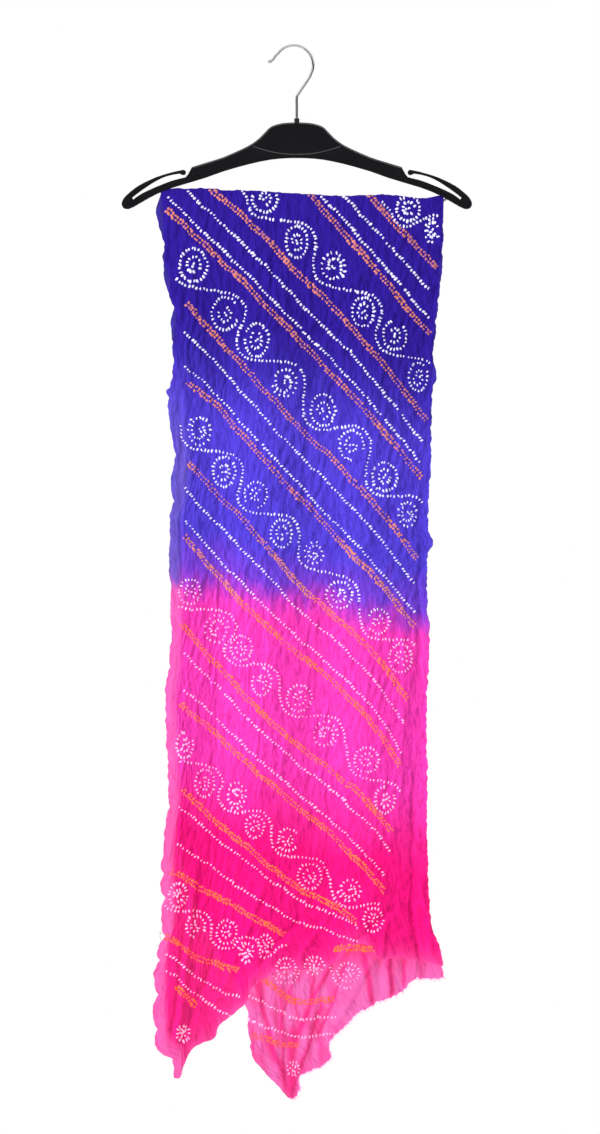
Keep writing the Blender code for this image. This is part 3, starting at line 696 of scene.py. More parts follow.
def front_sheet(columns, rows, strength):
    """Grid of the front fall, with the fold over the bar above it."""
    flat = patch(*fall_outline(FRONT_LEFT, FRONT_RIGHT, 0.0), smooth_line(FRONT_HEM), columns, rows)
    x, z = flat[..., 0], flat[..., 1]
    over = over_the_bar(x[0], z[0])
    points = np.concatenate([np.array(over), np.stack((x, front_y(x, z), z), -1)])
    across, along = hung(points)
    along = along - along[len(over), 0]
    x, z = points[..., 0], points[..., 2]
    height = crinkle(across, along, border_share(x, z), 11, strength) + creases(points, FRONT_CREASES)
    # The first mark is where shade is painted into the creases; thin is where the cloth is a single layer
    marks = {"crease_shade": crease_shade(height), "thin": thin_share(points, across, along, FRONT_FREE_Z)}
    near_bar = smoothstep(30.0, -6.0, along)
    height = height * (1 - near_bar) + np.maximum(height, 0.0) * 0.55 * near_bar
    behind_arm = smoothstep(128.0, 142.0, np.abs(x - 8)) * smoothstep(-205.0, -188.0, z)
    height = height * (1 - 0.75 * behind_arm)
    points = points + outward(points, -1.0) * height[..., None]
    frill(points, across, along, 0.8, 31, FRONT_SCALLOPS)
    return points, marks, across, along


def back_sheet(columns, rows, strength):
    """Grid of the back fall, from the end of the fold behind the bar down to the middle tail."""
    flat = patch(*fall_outline(BACK_LEFT, BACK_RIGHT, WRAP_TAIL), smooth_line(BACK_HEM), columns, rows)
    x, z = flat[..., 0], flat[..., 1]
    points = np.stack((x, back_y(x, z), z), -1)
    across, along = hung(points)
    free = smoothstep(-1040.0, -1130.0, z)
    height = crinkle(across, along, border_share(x, z), 57, strength * (1 - 0.25 * free))
    height = height + creases(points, BACK_CREASES)
    gathered = (1.6 * creases(points, GATHERS, 1.0)).clip(0.0, 1.0)
    narrow = ripple((x + 0.12 * z) / 8.0, z / 36.0, 91)
    bunched = smoothstep(95.0, 25.0, x) * smoothstep(-0.45, 0.55, narrow)
    thin = thin_share(points, across, along, BACK_FREE_Z) * (1 - 0.85 * gathered) * (1 - 0.58 * bunched)
    # The first mark is where shade is painted into the creases; thin is where the cloth is a single layer
    marks = {"crease_shade": crease_shade(height), "thin": thin}
    height = height * (1 - smoothstep(14.0, 0.0, along))
    points = points + outward(points, 1.0) * height[..., None]
    frill(points, across, along, 2.2, 47, BACK_SCALLOPS)
    return points, marks, across, along


def border_share(x, z):
    """1 on the plain border beyond the pattern's right end, where the wrinkles are finer."""
    edge = margin(RIGHT_MARGIN, z)
    return smoothstep(edge - 2.0, edge + 10.0, x) * smoothstep(-380.0, -620.0, z)


def walk(points, spacing, start=0.5):
    """Places a spacing apart along a line, with the line's direction at each."""
    reach = reach_of(points)
    at = np.arange(start * spacing, reach[-1], spacing)
    place, ahead, behind = (points_at(at + step, reach, points) for step in (0.0, 1.0, -1.0))
    return place, unit(ahead - behind)


def level_line(heights, low_x, high_x, seed):
    """A row of the pattern across the stole, from its heights at the stations, a little uneven."""
    line = smooth_line(np.stack((STATIONS, heights), -1), 10)
    reach = np.linspace(low_x, high_x, 90)
    z = np.interp(reach, line[:, 0], line[:, 1])
    slope = (heights[-1] - heights[0]) / (STATIONS[-1] - STATIONS[0])
    beyond_low = np.minimum(reach - STATIONS[0], 0.0) * slope
    beyond_high = np.maximum(reach - STATIONS[-1], 0.0) * slope
    z = z + beyond_low + beyond_high
    z = z + 2.8 * ripple(reach / 26.0, seed * 1.7, 83) + 1.7 * ripple(reach / 10.0, seed * 2.3, 85)
    return np.stack((reach, z), -1)


def margin(rows, z):
    table = np.array(rows)
    return np.interp(z, table[:, 0], table[:, 1])


class Chart:
    """Tied dots as they are charted: place, heading, length and width, for each of the colours."""

    def __init__(self):
        self.dots = {"white": [], "orange": [], "heart": []}

    def add(self, colour, place, heading, size):
        self.dots[colour].append(np.hstack((place, heading, np.tile(size, (len(place), 1)))))

    def white_row(self, line):
        """A line of undyed dots, kept between the pattern's margins."""
        z = line[:, 1]
        inside = (line[:, 0] > margin(LEFT_MARGIN, z)) & (line[:, 0] < margin(RIGHT_MARGIN, z))
        if inside.sum() > 3:
            place, heading = walk(line[inside], WHITE_SPACING)
            self.add("white", place, self.turned(heading, ROW_TURN), ROW_DOT)

    @staticmethod
    def turned(heading, turn):
        """Headings turned by an angle in radians."""
        return heading * cos(turn) + aside_of(heading) * sin(turn)

    def plait(self, line):
        """Small crosses with dark hearts near the fold, then a rope of two rows of slanting ticks."""
        place, heading = walk(line, CROSS_PITCH)
        high = place[:, 1] > CROSSES_END_Z
        place, heading = place[high], heading[high]
        aside = aside_of(heading)
        for ahead, out in ((-1.0, -1.0), (1.0, -1.0), (1.0, 1.0), (-1.0, 1.0)):
            at = place + heading * ahead * LOBE_AHEAD + aside * out * LOBE_ASIDE
            self.add("orange", at, self.turned(heading, np.arctan2(out, ahead)), LOBE_DOT)
        self.add("heart", place, heading, HEART_DOT)
        for side in (-1.0, 1.0):
            place, heading = walk(line, ROPE_PITCH, 0.5 + 0.25 * side)
            low = place[:, 1] <= CROSSES_END_Z
            place, heading = place[low], heading[low]
            beside = place + aside_of(heading) * side * ROPE_ASIDE
            self.add("orange", beside, self.turned(heading, side * TICK_TURN), TICK_DOT)

    def ring(self, middle, wide, tall, turns, shrink, start):
        """Ticks along a ring or, where it shrinks, a spiral, each pointing to the middle."""
        around = 2 * pi * np.sqrt((wide**2 + tall**2) / 2) * turns * (1 - shrink / 2)
        count = max(4, round(around / TICK_SPACING))
        share = (np.arange(count) + 0.5) / count
        size = 1.0 - shrink * share**1.7
        turn = start + 2 * pi * turns * share
        ray = np.stack((np.cos(turn) * wide * size, np.sin(turn) * tall * size), -1)
        self.add("white", middle + ray, unit(ray), RING_DOT)

    def rosette(self, x, z, wide, tall, seed):
        """A spiral, a broken ring or a whole ring, the last two round a smaller one, with two dots inside."""
        middle = np.array((x, z))
        start = seed * 1.3
        kind = seed % 4
        if kind == 1:
            self.ring(middle, wide, tall, 1.75, 0.66, start)
        elif kind == 3:
            self.ring(middle, wide, tall, 0.84, 0.0, start)
            self.ring(middle, wide * 0.5, tall * 0.5, 0.8, 0.2, start + 2.0)
        else:
            self.ring(middle, wide, tall, 1.0, 0.0, start)
            self.ring(middle, wide * 0.54, tall * 0.54, 0.9, 0.25, start)
        lean = np.array([(cos(seed), sin(seed))])
        pair = np.vstack((middle + lean * 1.6, middle - lean * 2.0))
        self.add("white", pair, np.vstack((lean, lean)), SEED_DOT)

    def scroll(self, rosettes, seed):
        """A run of rosettes, with a vine that passes them on alternate sides."""
        centres = np.array([(x, z) for x, z, _, _ in rosettes])
        way = unit(np.gradient(centres, axis=0))
        turns = []
        for k, (x, z, wide, tall) in enumerate(rosettes):
            self.rosette(x, z, wide, tall, seed * 7 + k)
            side = -1.0 if k % 2 == 0 else 1.0
            aside = aside_of(way[k]) * side
            r = (wide + tall) / 2 + VINE_CLEAR
            for ahead, out in ((-0.72, 0.78), (0.0, 1.06), (0.72, 0.78)):
                turns.append(centres[k] + way[k] * r * ahead + aside * r * out)
        path = [turns[0] - way[0] * 15.0, *turns, turns[-1] + way[-1] * 15.0]
        place, heading = walk(smooth_line(path, 6), VINE_SPACING)
        z = place[:, 1]
        keep = (place[:, 0] > margin(LEFT_MARGIN, z) - 4) & (place[:, 0] < margin(RIGHT_MARGIN, z) + 3)
        self.add("white", place[keep], self.turned(heading[keep], VINE_TURN), VINE_DOT)

    def collect(self, colour, seed):
        """All dots of a colour, each a little off its place, turn and size, with a few missed."""
        rows = np.vstack(self.dots[colour])
        chance = np.random.default_rng(seed)
        rows = rows[chance.random(len(rows)) > MISSED]
        count = len(rows)
        strong = 0.94 + 0.30 * ripple(rows[:, 0] / 31.0, rows[:, 1] / 37.0, seed)
        slender = 0.82 if colour == "white" else 1.0
        narrow = np.interp(rows[:, 1], (-700.0, -300.0), (slender, 1.0))
        high = np.interp(rows[:, 1], (-380.0, -250.0), (0.9, 1.0))
        rows[:, :2] += chance.normal(0.0, DOT_STRAY, (count, 2))
        turn = chance.normal(0.0, DOT_TURN, count)
        x, z = rows[:, 2].copy(), rows[:, 3].copy()
        rows[:, 2] = x * np.cos(turn) - z * np.sin(turn)
        rows[:, 3] = x * np.sin(turn) + z * np.cos(turn)
        rows[:, 4:] *= chance.uniform(*DOT_RANGE, (count, 2)) * (strong * high)[:, None]
        rows[:, 5] *= narrow
        return rows


def charted(low_plaits, low_scroll, tail_rosettes, end_plaits):
    """The whole pattern of one fall: plaits, then white rows or a scroll between each two."""
    chart = Chart()
    plaits = [*PLAITS, *low_plaits]
    lines = [level_line(row[:7], row[7], row[8], k) for k, row in enumerate(plaits)]
    for line in lines[1:]:
        chart.plait(line)
    chart.plait(lines[0][lines[0][:, 0] > TOP_PLAIT_X])
    for k, shares in enumerate(WHITES):
        if shares is None:
            continue
        upper, lower = np.array(plaits[k][:7]), np.array(plaits[k + 1][:7])
        low_x = max(min(plaits[k][7], plaits[k + 1][7]), -160.0) - 3.0
        high_x = max(plaits[k][8], plaits[k + 1][8]) + 4.0
        for n, share in enumerate(shares):
            chart.white_row(level_line(upper + (lower - upper) * share, low_x, high_x, 40 + 2 * k + n))
    for k, rosettes in enumerate((TOP_SCROLL, *SCROLLS, low_scroll)):
        chart.scroll(rosettes, k)
    for k, rosette in enumerate(tail_rosettes):
        chart.rosette(*rosette, 92 + 2 * k)
    for line in end_plaits:
        chart.plait(smooth_line(line, 6))
    return chart


def settle(rows, points, flip, height):
    """Lays charted dots on the front of a sheet, or on its back with flip.

    Each row gives its place, the way it faces, the way it runs and its half sizes.
    """
    quads = np.stack(cells(*points.shape[:2]), -1).reshape(-1, 4)
    tree = BVHTree.FromPolygons(points.reshape(-1, 3).tolist(), quads.tolist())
    side = 1.0 if flip else -1.0
    start, way = 60.0 * side, Vector((0.0, -side, 0.0))
    settled = []
    for x, z, along_x, along_z, length, width in rows:
        found, normal, _, _ = tree.ray_cast(Vector((x, start, z)), way)
        if found is None:
            continue
        if normal.y * side < 0:
            normal = -normal
        low = found - normal * SINK
        place = (low.x + HANGER_X, low.y, low.z)
        settled.append((*place, *normal, along_x, 0.0, along_z, length / 2, width / 2, height + SINK))
    return np.array(settled).reshape(-1, 12)


def point_mesh(name, rows):
    """A mesh of bare points, each with the way it faces, the way it runs and its half sizes."""
    mesh = bpy.data.meshes.new(name)
    mesh.from_pydata((rows[:, :3] * MM).tolist(), [], [])
    for key, first, scale in (("facing", 3, 1.0), ("heading", 6, 1.0), ("span", 9, MM)):
        made = mesh.attributes.new(key, "FLOAT_VECTOR", "POINT")
        made.data.foreach_set("vector", (rows[:, first : first + 3] * scale).astype(np.float32).ravel())
    return placed(name, mesh)


def feed(tree, made, **values):
    """Gives a node's properties and inputs their values, or other nodes' outputs."""
    for key, value in values.items():
        if hasattr(made, key):
            setattr(made, key, value)
        elif isinstance(value, bpy.types.NodeSocket):
            tree.links.new(value, made.inputs[key.replace("_", " ")])
        else:
            made.inputs[key.replace("_", " ")].default_value = value
    return made


def node(tree, kind, **values):
    return feed(tree, tree.nodes.new(kind), **values)


def raised_tree():
    """Geometry Nodes: a low cone on each point, turned to face and run as the point says."""
    tree = bpy.data.node_groups.new("raised_on_points", "GeometryNodeTree")
    sockets = {}
    kinds = {"Points": "Geometry", "Sides": "Int", "Crown Share": "Float", "Finish": "Material"}
    for label, kind in kinds.items():
        sockets[label] = tree.interface.new_socket(label, in_out="INPUT", socket_type="NodeSocket" + kind)
    sockets["Sides"].default_value = 6
    sockets["Crown Share"].default_value = 0.6
    tree.interface.new_socket("Mesh", in_out="OUTPUT", socket_type="NodeSocketGeometry")
    given = tree.nodes.new("NodeGroupInput").outputs
    facing, heading, span = (
        node(tree, "GeometryNodeInputNamedAttribute", data_type="FLOAT_VECTOR", Name=key).outputs["Attribute"]
        for key in ("facing", "heading", "span")
    )
    cone = node(
        tree, "GeometryNodeMeshCone", fill_type="TRIANGLE_FAN", Vertices=given["Sides"], Side_Segments=1,
        Radius_Top=given["Crown Share"], Radius_Bottom=1.0, Depth=1.0,
    )
    cut = node(
        tree, "GeometryNodeDeleteGeometry", domain="FACE", mode="ALL",
        Geometry=cone.outputs["Mesh"], Selection=cone.outputs["Bottom"],
    )
    place = node(tree, "GeometryNodeInputPosition").outputs["Position"]
    flat = node(tree, "ShaderNodeVectorMath", operation="MULTIPLY", Vector=place)
    flat.inputs[1].default_value = (1.0, 1.0, 0.0)
    reach = node(tree, "ShaderNodeVectorMath", operation="LENGTH", Vector=flat.outputs["Vector"])
    rimmed = node(
        tree, "GeometryNodeStoreNamedAttribute", data_type="FLOAT", domain="POINT", Name="rim",
        Geometry=cut.outputs["Geometry"], Value=reach.outputs["Value"],
    )
    up = node(tree, "FunctionNodeAlignRotationToVector", axis="Z", Vector=facing)
    run = node(
        tree, "FunctionNodeAlignRotationToVector", axis="X", pivot_axis="Z",
        Rotation=up.outputs["Rotation"], Vector=heading,
    )
    put = node(
        tree, "GeometryNodeInstanceOnPoints", Points=given["Points"], Instance=rimmed.outputs["Geometry"],
        Rotation=run.outputs["Rotation"], Scale=span,
    )
    real = node(tree, "GeometryNodeRealizeInstances", Geometry=put.outputs["Instances"])
    paint = node(tree, "GeometryNodeSetMaterial", Geometry=real.outputs["Geometry"], Material=given["Finish"])
    node(tree, "NodeGroupOutput", Mesh=paint.outputs["Geometry"])
    return tree, [sockets[label].identifier for label in ("Sides", "Crown Share", "Finish")]


def raised(name, rows, sides, crown, finish):
    """One mesh of small raised cones over the rows of points."""
    tree, keys = raised_tree()
    points = point_mesh(name + "_points", rows)
    modifier = points.modifiers.new("raised", "NODES")
    modifier.node_group = tree
    for key, value in zip(keys, (sides, crown, finish)):
        modifier[key] = value
    bpy.context.view_layer.update()
    graph = bpy.context.evaluated_depsgraph_get()
    mesh = bpy.data.meshes.new_from_object(points.evaluated_get(graph))
    mesh.name = name
    if not len(mesh.polygons):
        raise RuntimeError(f"{name} came out empty")
    for key in ("facing", "heading", "span"):
        if key in mesh.attributes:
            mesh.attributes.remove(mesh.attributes[key])
    mesh.polygons.foreach_set("use_smooth", np.ones(len(mesh.polygons), bool))
    discard(points)
    return placed(name, mesh)


def shader_group(name, given, **made):
    """A shader group with one vector input, and its outputs by name and kind."""
    tree = bpy.data.node_groups.new(name, "ShaderNodeTree")
    tree.interface.new_socket(given, in_out="INPUT", socket_type="NodeSocketVector")
    for label, kind in made.items():
        tree.interface.new_socket(label.replace("_", " "), in_out="OUTPUT", socket_type="NodeSocket" + kind)
    return tree, tree.nodes.new("NodeGroupInput").outputs[0], tree.nodes.new("NodeGroupOutput")


def calc(tree, operation, first, second=None, clamp=False):
    """One step of arithmetic on numbers or on other nodes' outputs."""
    made = node(tree, "ShaderNodeMath", operation=operation, use_clamp=clamp)
    for k, value in enumerate((first, second)):
        if isinstance(value, (int, float)):
            made.inputs[k].default_value = value
        elif value is not None:
            tree.links.new(value, made.inputs[k])
    return made.outputs[0]


def scaled(tree, value, factor, off=0.0, clamp=False):
    """A value less an offset, times a factor."""
    if off:
        value = calc(tree, "SUBTRACT", value, off)
    return calc(tree, "MULTIPLY", value, factor, clamp)


def noise(tree, place, scale, detail=2.0, bend=0.0):
    made = node(tree, "ShaderNodeTexNoise", Vector=place, Scale=scale, Detail=detail, Distortion=bend)
    return made.outputs[0]


def blend(tree, share, first, second, kind="MIX"):
    """A mix of two colours, each a plain colour or another node's output."""
    made = node(tree, "ShaderNodeMix", data_type="RGBA", blend_type=kind)
    tree.links.new(share, made.inputs[0])
    for socket, colour in zip(made.inputs[6:8], (first, second)):
        if isinstance(colour, bpy.types.NodeSocket):
            tree.links.new(colour, socket)
        else:
            socket.default_value = (*colour, 1.0)
    return made.outputs[2]


def ramp(tree, value, stops):
    """Colours over a value from 0 to 1."""
    made = node(tree, "ShaderNodeValToRGB", Fac=value)
    while len(made.color_ramp.elements) < len(stops):
        made.color_ramp.elements.new(0.5)
    for element, (at, colour) in zip(made.color_ramp.elements, stops):
        element.position = at
        element.color = (*colour, 1.0)
    return made.outputs["Color"]


def object_place(tree):
    return node(tree, "ShaderNodeTexCoord").outputs["Object"]


def attribute(tree, name):
    return node(tree, "ShaderNodeAttribute", attribute_name=name).outputs["Fac"]


def shared(tree, build, place, *given):
    """The outputs of a shared shader group at a place. The group is built the first time."""
    group = bpy.data.node_groups.get(build.__name__) or build(*given)
    made = node(tree, "ShaderNodeGroup", node_tree=group)
    tree.links.new(place, made.inputs[0])
    return made.outputs


def dyed_ground(settings):
    """Shader group: the dyed ground from blue-violet to hot pink, and where the pink has taken over."""
    tree, place, made = shader_group("dyed_ground", "Place", Colour="Color", Pink="Float")
    split = node(tree, "ShaderNodeSeparateXYZ", Vector=place)
    creep = node(tree, "ShaderNodeMapping", Vector=place, Scale=DYE_STREAK)
    slanted = calc(tree, "ADD", split.outputs["Z"], scaled(tree, split.outputs["X"], DYE_SLANT))
    uneven = scaled(tree, noise(tree, creep.outputs["Vector"], 1.0, 3.0), DYE_STREAKY, 0.5)
    drift = scaled(tree, noise(tree, place, DYE_CLOUD), DYE_CLOUDY, 0.5)
    level = calc(tree, "ADD", calc(tree, "ADD", slanted, uneven), drift)
    fall = calc(tree, "DIVIDE", calc(tree, "SUBTRACT", DYE_TOP, level), DYE_LENGTH, clamp=True)
    stops = [((DYE_TOP - z) / DYE_LENGTH, colour) for z, colour in dye_stops(settings)]
    low, high = ((DYE_TOP - z) / DYE_LENGTH for z in PINK_FROM)
    pink = node(tree, "ShaderNodeMapRange", Value=fall, From_Min=low, From_Max=high)
    feed(tree, made, Colour=ramp(tree, fall, stops), Pink=pink.outputs["Result"])
    return tree


def dye_stops(settings):
    """Heights down the stole and the ground's colour at each."""
    top, bright = Vector(settings.top_violet), Vector(settings.bright_blue)
    pink, hot = Vector(settings.upper_pink), Vector(settings.hot_pink)
    return (
        (-0.330, top),
        (-0.385, top.lerp(bright, 0.22)),
        (-0.420, top.lerp(bright, 0.58)),
        (-0.455, top.lerp(bright, 0.92)),
        (-0.600, bright),
        (-0.645, bright.lerp(pink, 0.10) * 1.05),
        (-0.664, bright.lerp(pink, 0.42)),
        (-0.686, pink),
        (-0.860, pink.lerp(hot, 0.08)),
        (-0.905, pink.lerp(hot, 0.45)),
        (-0.960, hot),
        (-1.240, hot),
    )


def fine_crinkle():
    """Shader group over the cloth's flat map: height of the fine wrinkle, and its little creases where shade
    is painted.
    """
    outputs = {"Height": "Float", "Crease": "Float", "Sheer_Crease": "Float"}
    tree, flat, made = shader_group("fine_crinkle", "Flat", **outputs)

    def wrinkle(across, along, detail, bend):
        slant = node(tree, "ShaderNodeMapping", Vector=flat, Rotation=(0.0, 0.0, WRINKLE_SLANT))
        size = (FLAT_MAP / across, FLAT_MAP / along, 1.0)
        place = node(tree, "ShaderNodeMapping", Vector=slant.outputs["Vector"], Scale=size)
        wave = noise(tree, place.outputs["Vector"], 1.0, detail, bend)
        return calc(tree, "ABSOLUTE", calc(tree, "SUBTRACT", wave, 0.5))

    def line_over(fold, sharp):
        return calc(tree, "SUBTRACT", 1.0, scaled(tree, fold, sharp), clamp=True)

    folds = [wrinkle(*row[:3], FINE_BEND) for row in FINE_WRINKLES]
    heights = [scaled(tree, fold, 2.0 * row[3]) for fold, row in zip(folds, FINE_WRINKLES)]
    long_line, short_line = (line_over(fold, LINE_SHARP) for fold in folds[:2])
    feed(
        tree, made,
        Height=calc(tree, "ADD", calc(tree, "ADD", heights[0], heights[1]), heights[2]),
        Crease=calc(tree, "MAXIMUM", long_line, scaled(tree, short_line, SHORT_LINE)),
        Sheer_Crease=line_over(wrinkle(*SHEER_WRINKLE), SHEER_LINE_SHARP),
    )
    return tree


def principled(name):
    material = bpy.data.materials.new(name)
    material.use_nodes = True
    return material, material.node_tree, material.node_tree.nodes["Principled BSDF"]


def cloth_finish(name, settings, cover):
    """Sheer dyed georgette: painted shade in the troughs and fine creases, painted glow where a single layer
    lets light through, fine wrinkle in the bump.
    """
    material, tree, shader = principled(name)
    ground = shared(tree, dyed_ground, object_place(tree), settings)
    fine = shared(tree, fine_crinkle, node(tree, "ShaderNodeUVMap", uv_map=CLOTH_MAP).outputs["UV"])
    deep, thin = attribute(tree, "crease_shade"), attribute(tree, "thin")
    # Where the cloth is a single thin layer its colour is paler: its own dye with painted light coming
    # through it
    sheer = blend(tree, ground["Pink"], settings.thin_glow_violet, settings.thin_glow_pink)
    pale = blend(tree, thin, ground["Colour"], sheer)
    thick = calc(tree, "SUBTRACT", 1.0, scaled(tree, thin, SHEER_HIDES))
    # Painted shade: dark fine crease lines and darker troughs, multiplied into the colour
    lines = calc(tree, "MULTIPLY", fine["Crease"], thick)
    lines = calc(tree, "MAXIMUM", lines, calc(tree, "MULTIPLY", fine["Sheer Crease"], thin))
    lines = scaled(tree, lines, settings.fine_crease_shade)
    amount = calc(tree, "ADD", scaled(tree, deep, settings.crease_shade_depth), lines, clamp=True)
    shade = blend(tree, amount, pale, settings.crease_shade_tint, "MULTIPLY")
    # Painted glow: this share of the colour is emitted, as light coming through the thin cloth
    through = scaled(tree, thin, GLOW)
    bump = node(tree, "ShaderNodeBump", Height=fine["Height"], Strength=1.0, Distance=settings.fine_wrinkle)
    feed(
        tree, shader,
        Base_Color=blend(tree, through, shade, BLACK),
        Roughness=calc(tree, "ADD", scaled(tree, deep, 0.2), 0.66),
        Emission_Color=blend(tree, through, BLACK, shade),
        Emission_Strength=1.0,
        Alpha=cover,
        Specular_IOR_Level=0.06,
        Normal=bump.outputs["Normal"],
    )
    return material


def dot_finish(name, settings, on_blue, on_pink, rim_mix, dull):
    """Undyed or orange tied spot, fading into the ground at its rim. It has a tone for each ground."""
    material, tree, shader = principled(name)
    place = object_place(tree)
    ground = shared(tree, dyed_ground, place, settings)
    zone = blend(tree, ground["Pink"], on_blue, on_pink)
    edge = scaled(tree, calc(tree, "POWER", attribute(tree, "rim"), 3.0), rim_mix)
    stain = scaled(tree, noise(tree, place, STAIN_SCALE, 1.0), 0.7, 0.45, True)
    faded = scaled(tree, noise(tree, place, FADE_SCALE, 1.0), dull, 0.42, True)
    amount = calc(tree, "ADD", calc(tree, "ADD", edge, stain), faded, clamp=True)
    tone = blend(tree, amount, zone, ground["Colour"])
    feed(tree, shader, Base_Color=tone, Roughness=0.8, Specular_IOR_Level=0.08)
    return material


def thread_finish(name, settings, other, share, glow):
    """Loose fibre of the dyed cloth, with another colour over a share of it, and a painted glow of that
    colour by glow.
    """
    material, tree, shader = principled(name)
    place = object_place(tree)
    ground = shared(tree, dyed_ground, place, settings)
    amount = scaled(tree, noise(tree, place, THREAD_SCALE), 2.0 * share, clamp=True)
    tone = blend(tree, amount, ground["Colour"], other)
    feed(tree, shader, Base_Color=tone, Emission_Color=tone, Emission_Strength=glow, Roughness=0.8)
    return material


def speckled(name, colour, other, scale, detail, rough_low, rough_span, **plain):
    """A finish whose tone and roughness drift together, from a colour to another share of it."""
    material, tree, shader = principled(name)
    share = noise(tree, object_place(tree), scale, detail)
    tone = blend(tree, share, colour, [c * other for c in colour])
    rough = calc(tree, "ADD", scaled(tree, share, rough_span), rough_low)
    feed(tree, shader, Base_Color=tone, Roughness=rough, **plain)
    return material, tree, shader


def plastic_finish(name, colour):
    """Moulded plastic with a fine grain and a faint uneven sheen."""
    material, tree, shader = speckled(name, colour, 1.5, 38.0, 3.0, 0.34, 0.16, Specular_IOR_Level=0.18)
    grain = noise(tree, object_place(tree), GRAIN_SCALE)
    bump = node(tree, "ShaderNodeBump", Height=grain, Strength=0.25, Distance=GRAIN_HEIGHT)
    feed(tree, shader, Normal=bump.outputs["Normal"])
    return material


def metal_finish(name, colour, low, high):
    """Plated wire, a little uneven."""
    return speckled(name, colour, 0.86, 240.0, 2.0, low, high - low, Metallic=1.0)[0]


def sleeve_finish(colour):
    """Soft black plastic sleeve, a little dusty."""
    return speckled("sleeve_plastic", colour, 2.2, 1400.0, 2.0, 0.35, 0.2)[0]


def tube(name, path, radii, sides):
    """A closed round tube along a path in millimetres, with a radius at each point of the path."""
    path = np.array(path, float)
    ahead = unit(np.gradient(path, axis=0))
    bm = bmesh.new()
    side = np.array((0.0, 1.0, 0.0))
    rings = []
    for centre, forward, radius in zip(path, ahead, radii):
        side = side - forward * side.dot(forward)
        side /= np.linalg.norm(side)
        up = np.cross(forward, side)
        ring = []
        for k in range(sides):
            turn = 2 * pi * k / sides
            co = centre + radius * (cos(turn) * side + sin(turn) * up)
            ring.append(bm.verts.new(Vector(co) * MM))
        rings.append(ring)
    for one, two in zip(rings, rings[1:]):
        for k in range(sides):
            bm.faces.new((one[k], one[(k + 1) % sides], two[(k + 1) % sides], two[k]))
    for ring, centre, turn in ((rings[0], path[0], -1), (rings[-1], path[-1], 1)):
        pole = bm.verts.new(Vector(centre) * MM)
        for k in range(sides):
            one, two = ring[k], ring[(k + 1) % sides]
            bm.faces.new((one, two, pole) if turn > 0 else (two, one, pole))
    bmesh.ops.recalc_face_normals(bm, faces=bm.faces)
    return mesh_object(name, bm)


def mesh_object(name, bm):
    mesh = bpy.data.meshes.new(name)
    bm.to_mesh(mesh)
    bm.free()
    mesh.polygons.foreach_set("use_smooth", np.ones(len(mesh.polygons), bool))
    mesh.set_sharp_from_angle(angle=radians(SHARP_ANGLE))
    return placed(name, mesh)


def add_tube(bm, line, radius, sides):
    """Adds a plain round tube along a line to a mesh being built."""
    piece = tube("plain_tube", line, np.full(len(line), radius), sides)
    bm.from_mesh(piece.data)
    discard(piece)


def hook_wire(diameter):
    """Path and radii of the hook: ball tip, crown, shank, and the head that turns in the neck."""
    arc = []
    for step in range(ARC_STEPS + 1):
        turn = radians(ARC_FROM + (ARC_TO - ARC_FROM) * step / ARC_STEPS)
        arc.append((CROWN_X + CROWN_R * cos(turn), CROWN_Z + CROWN_R * sin(turn)))
    before = smooth_line((*HOOK_START, arc[0]), 4)[:-1]
    after = smooth_line((arc[-1], *HOOK_END), 4)[1:]
    line = np.vstack((before, arc, after))
    reach = reach_of(line)
    ball, wire = TIP_D / 2, diameter / 2
    neck = np.sqrt(ball**2 - wire**2)
    tip = -ball * np.cos(np.linspace(0.04, 1.0, 12) * (pi - np.arcsin(wire / ball)))
    at = np.concatenate((tip, reach[reach > neck + 0.4]))
    radii = np.where(at < neck, np.sqrt(np.maximum(ball**2 - at**2, 0.0)), wire)
    start = (line[1] - line[0]) / reach[1]
    x, z = (points_at(at, reach, line) + np.minimum(at, 0.0)[:, None] * start).T
    path = np.stack((x + HANGER_X, 0 * x, z), -1)
    head = [(HANGER_X, 0.0, z) for z in HEAD_Z]
    return np.vstack((path[:-1], head)), np.concatenate((radii[:-1], HEAD_R))


def ring_solid(name, profile, sides):
    """A turned ring about the hanger's neck, from a closed loop of radius and height in millimetres."""
    bm = bmesh.new()
    turns = [2 * pi * k / sides for k in range(sides)]
    rows = []
    for r, z in profile:
        round_it = [((HANGER_X + r * cos(turn)) * MM, r * sin(turn) * MM, z * MM) for turn in turns]
        rows.append([bm.verts.new(co) for co in round_it])
    for one, two in zip(rows, [*rows[1:], rows[0]]):
        for k in range(sides):
            bm.faces.new((one[k], one[(k + 1) % sides], two[(k + 1) % sides], two[k]))
    bmesh.ops.recalc_face_normals(bm, faces=bm.faces)
    return mesh_object(name, bm)


def merged_copy(node_name, name):
    """A CAD node's shape with its loose triangles joined, for a smooth finish."""
    bm = bmesh.new()
    bm.from_mesh(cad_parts[node_name].data)
    bmesh.ops.remove_doubles(bm, verts=bm.verts, dist=WELD * MM)
    bmesh.ops.dissolve_degenerate(bm, edges=bm.edges, dist=WELD * MM)
    made = mesh_object(name, bm)
    made.data.materials.clear()
    even = made.modifiers.new("even_shading", "WEIGHTED_NORMAL")
    even.keep_sharp = True
    bpy.context.view_layer.update()
    graph = bpy.context.evaluated_depsgraph_get()
    rough = made.data
    shaped = bpy.data.meshes.new_from_object(
        made.evaluated_get(graph), preserve_all_data_layers=True, depsgraph=graph
    )
    made.modifiers.clear()
    made.data = shaped
    bpy.data.meshes.remove(rough)
    shaped.name = name
    return made


